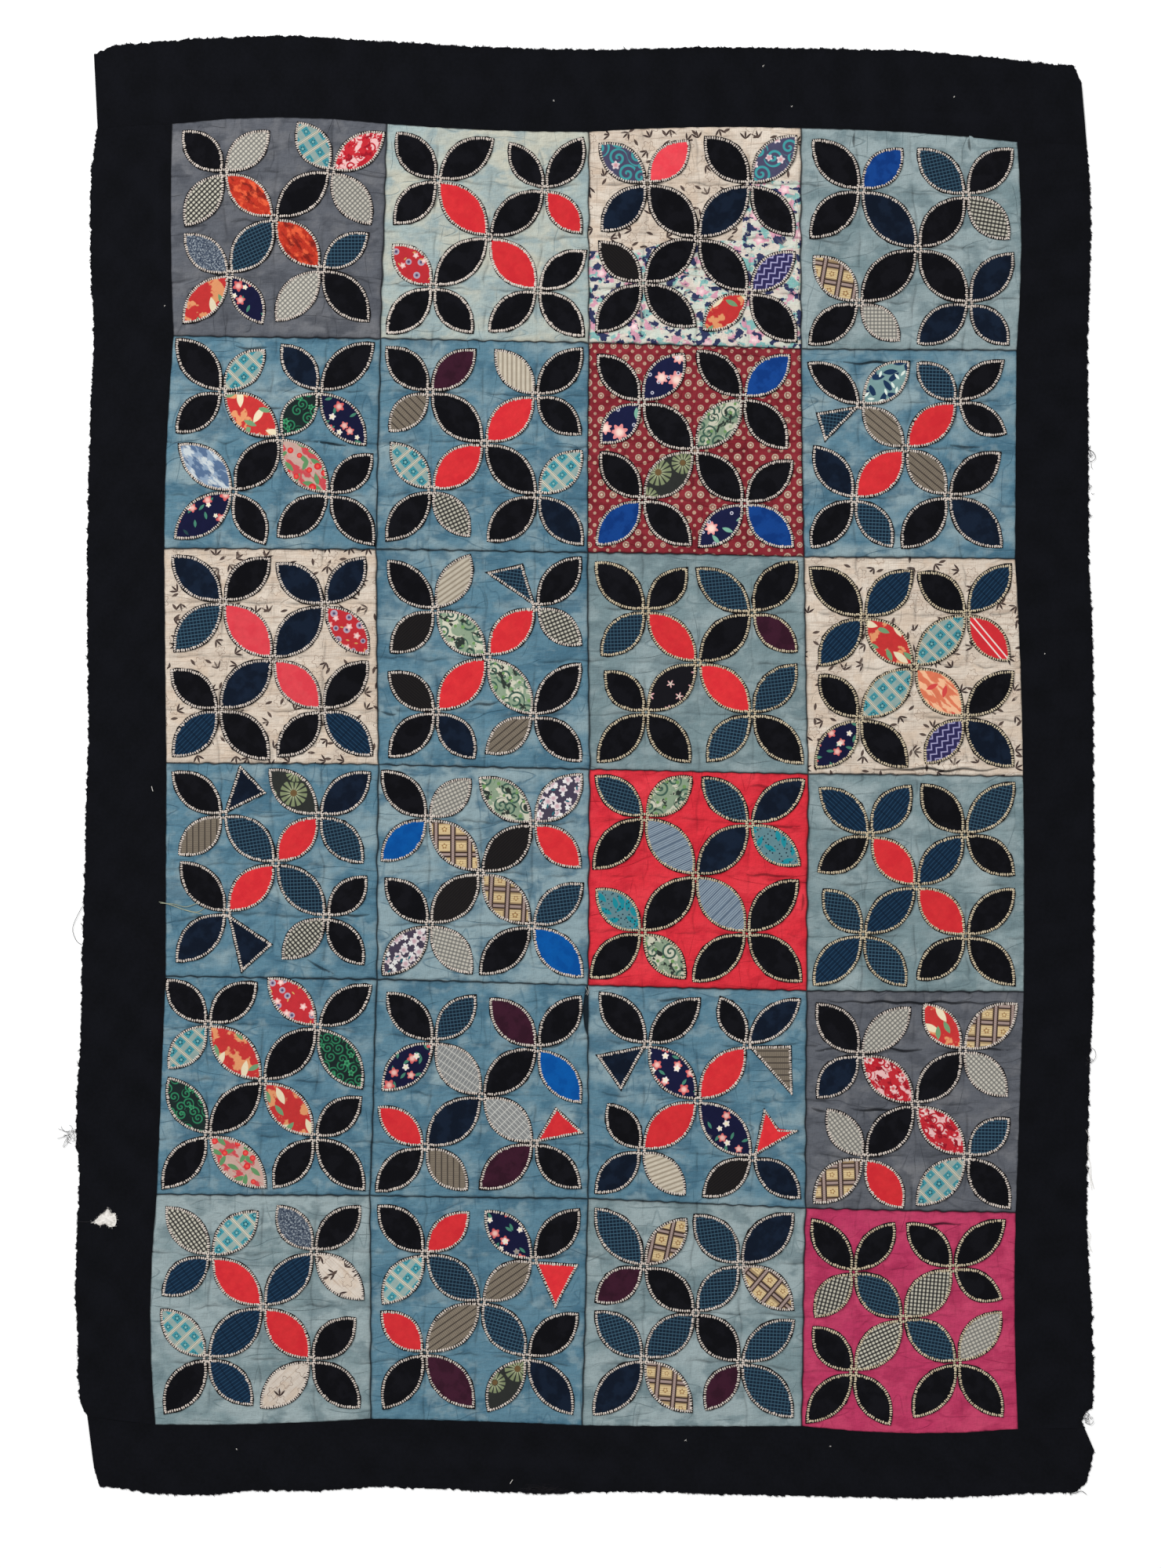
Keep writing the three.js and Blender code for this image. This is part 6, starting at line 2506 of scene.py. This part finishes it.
# Dark threads that have come loose round the edge
DARK_STRANDS = (
    Strand(((-684, -188), (-691, -199), (-700, -221), (-695, -238), (-687, -244))),
    Strand(((688, 434), (696, 430), (699, 422), (693, 417), (689, 420))),
    Strand(((690, -383), (698, -388), (699, -398), (693, -405), (688, -404)), 0.25),
    Strand(((683, -880), (690, -886), (685, -892), (676, -890))),
    Strand(((684, -897), (692, -900), (697, -895))),
    Strand(((660, -989), (670, -994), (680, -991), (687, -996)), 0.35),
    Strand(((-672, -622), (-682, -623), (-693, -622)), 0.25, 1.3, 1.0),
)
DARK_TUFTS = (
    Tuft((-704, -504), (9, 11), 14, seed=11),
    Tuft((692, 424), (4, 8), 8, seed=12),
    Tuft((691, 380), (3, 4), 6, seed=13),
    Tuft((690, 343), (3, 4), 6, seed=14),
    Tuft((690, -402), (4, 5), 6, seed=15),
    Tuft((686, -890), (6, 6), 9, seed=16),
    Tuft((-55, -988), (18, 5), 44, 0.1, 1.35, 23),
)

# Pale threads and lint that show on the dark cloth and along the open seam
PALE_STRANDS = (
    Strand(((686, -497), (690, -507), (688, -520), (690, -533)), 0.3, 0.7),
    Strand(((687, -528), (692, -545), (693, -562), (697, -578)), 0.3, 0.7),
    Strand(((686, -545), (691, -560), (694, -580)), 0.25, 0.7),
    Strand(((686, -633), (692, -640), (690, -652), (694, -664)), 0.3, 0.7),
    Strand(((-102, -981), (-100, -978), (-98, -975)), 0.5, 1.5, 0.0),
    Strand(((-592, -27), (-591, -31), (-590, -34)), 0.5, 1.6),
    Strand(((1, -301), (4, -307), (2, -312)), 0.25, 1.6, 0.0),
    Strand(((5, -300), (6, -306), (4, -313)), 0.25, 1.6, 0.0),
)
LINT = Tuft((-574, 630), (0.9, 0.9), 5, 0.17, 1.9, 24)
LINT_PLACES = (
    (-476, -934), (138, -921), (336, -930), (-42, 911), (245, 958), (283, 903), (506, 916), (630, 154),
)
PALE_TUFTS = (
    LINT,
    *(replace(LINT, place=place, height=1.5, seed=LINT.seed + n) for n, place in enumerate(LINT_PLACES, 1)),
)
SAGE_PATHS = (
    ((-582, -185), (-566, -189), (-550, -195), (-536, -199), (-522, -202)),
    ((-580, -187), (-562, -188), (-545, -192), (-528, -187), (-520, -193), (-530, -199), (-545, -196)),
)
SAGE_STRANDS = (Strand(SAGE_PATHS[0], 0.6, 2.3, 0.7), Strand(SAGE_PATHS[1], 0.5, 2.5, 0.5))


@dataclass
class Border:
    """The four strips of the border with their frayed edges, loose threads and lint."""

    sides: tuple[Side, ...] = (Side.TOP, Side.RIGHT, Side.BOTTOM, Side.LEFT)
    seeds: tuple[float, ...] = (7100, 7200, 7300, 7400)

    def field_edge(self, side: Side) -> Array:
        """Joins the blocks' outer edges along one side of the field.

        Args:
            side: The side.

        Returns:
            The edge's points, from left to right or from top to bottom.
        """
        nets = [BlockCloth(block).lattice() for block in BLOCKS if side in block.free]
        part = {Side.TOP: np.s_[0], Side.BOTTOM: np.s_[-1], Side.LEFT: np.s_[:, 0], Side.RIGHT: np.s_[:, -1]}
        return np.concatenate([net[part[side]] for net in nets])

    def strips(self) -> list[Strip]:
        """Lists the strips. Those at the top and bottom run on over the ends of the other two.

        Returns:
            The strips.
        """
        made = []
        for side, seed in zip(self.sides, self.seeds):
            inner = self.field_edge(side)
            if side in (Side.TOP, Side.BOTTOM):
                end = 0 if side is Side.TOP else -1
                inner = np.concatenate([[EDGES[Side.LEFT][end]], inner, [EDGES[Side.RIGHT][end]]])
            made.append(Strip(side, inner, seed, WORN_HOLE if side is Side.LEFT else ()))
        return made

    def dress(self) -> None:
        cloth, frayed = BORDER_CLOTH.dyed("border_cotton"), FRAYED.dyed("frayed_thread")
        for name, finish, strands, tufts in (
            ("dark_threads", frayed, DARK_STRANDS, DARK_TUFTS),
            ("pale_threads", FLUFF.dyed("pale_fluff"), PALE_STRANDS, PALE_TUFTS),
            ("sage_thread", SAGE.dyed("sage_yarn"), SAGE_STRANDS, ()),
        ):
            patch = Patch()
            for strand in [*strands, *(strand for tuft in tufts for strand in tuft.strands())]:
                strand.spin(patch)
            if name == "pale_threads":
                Wadding(WORN_HOLE).swell(patch)
            patch.piece(name, [finish], "tone")
        for strip in self.strips():
            made = strip.cloth(cloth)
            hairs = Patch()
            strip.hairs(hairs)
            fray = hairs.piece(f"fray_{strip.side.value}", [frayed], "tone")
            loop = np.concatenate([strip.inner, strip.outer[::-1]])
            cut = area(loop) * MM * MM


@dataclass
class Studio:
    """The plain floor, the soft lights and the camera straight above, in metres and watts."""

    centre: Point = (-0.0054, -0.0239)
    camera_height: float = 5.362
    camera_reach: float = 50.0
    lens: float = 90.0
    sensor: float = 36.0
    floor_half: float = 6.0
    floor_z: float = -0.0004
    floor_shades: tuple[Shade, Shade] = ((252, 252, 252), (254, 254, 254))
    floor_matt: float = 0.95
    sky: float = 0.55
    key_place: tuple[float, float, float] = (-4.6, 5.4, 4.6)
    key_power: float = 600.0
    key_size: float = 2.6
    fill_place: tuple[float, float, float] = (4.4, -3.6, 5.4)
    fill_power: float = 130.0
    fill_size: float = 3.6

    def floor(self) -> None:
        """Lays the floor."""
        corners = ((-1, -1), (1, -1), (1, 1), (-1, 1))
        mesh = bpy.data.meshes.new("floor")
        places = [(x * self.floor_half, y * self.floor_half, self.floor_z) for x, y in corners]
        mesh.from_pydata(places, [], [(0, 1, 2, 3)])
        dye = Dye("floor_paper")
        mesh.materials.append(dye.finish(dye.mix(dye.noise(200), *self.floor_shades), self.floor_matt))
        floor = bpy.data.objects.new("floor", mesh)
        bpy.context.scene.collection.objects.link(floor)

    def light(self, name: str, place: tuple[float, float, float], power: float, size: float) -> None:
        """Hangs one soft light that shines on the cover's middle.

        Args:
            name: Its name.
            place: Where it hangs.
            power: Its power.
            size: Its width.
        """
        lamp = bpy.data.lights.new(name, "AREA")
        lamp.energy = power
        lamp.size = size
        made = bpy.data.objects.new(name, lamp)
        made.location = place
        made.rotation_euler = (-Vector(place)).to_track_quat("-Z", "Y").to_euler()
        bpy.context.scene.collection.objects.link(made)

    def build(self) -> None:
        """Sets up the floor, the lights and the camera."""
        scene = bpy.context.scene
        scene.view_settings.view_transform = "Standard"
        self.floor()
        scene.world = bpy.data.worlds.new("studio")
        scene.world.use_nodes = True
        sky = scene.world.node_tree.nodes["Background"]
        sky.inputs["Color"].default_value = (1.0, 1.0, 1.0, 1.0)
        sky.inputs["Strength"].default_value = self.sky
        self.light("key", self.key_place, self.key_power, self.key_size)
        self.light("fill", self.fill_place, self.fill_power, self.fill_size)
        camera = bpy.data.cameras.new("above")
        camera.lens = self.lens
        camera.sensor_width = self.sensor
        camera.clip_end = self.camera_reach
        made = bpy.data.objects.new("above", camera)
        made.location = (*self.centre, self.camera_height)
        scene.collection.objects.link(made)
        scene.camera = made


def main() -> None:
    """Builds the cover block by block, then its border and the studio."""
    logging.basicConfig(level=logging.INFO)
    cloths = {letter: cloth.dyed() for letter, cloth in CLOTHS.items()}
    grounds = {ground: dyed.dyed(ground.value) for ground, dyed in GROUNDS.items()}
    threads = {thread: spun.dyed(thread.value) for thread, spun in THREADS.items()}
    cord = EDGE_CORD.dyed("edge_cord")
    for block in BLOCKS:
        BlockCloth(block).dress(cloths, grounds, threads, cord)
    Border().dress()
    Studio().build()


if __name__ == "__main__":
    main()
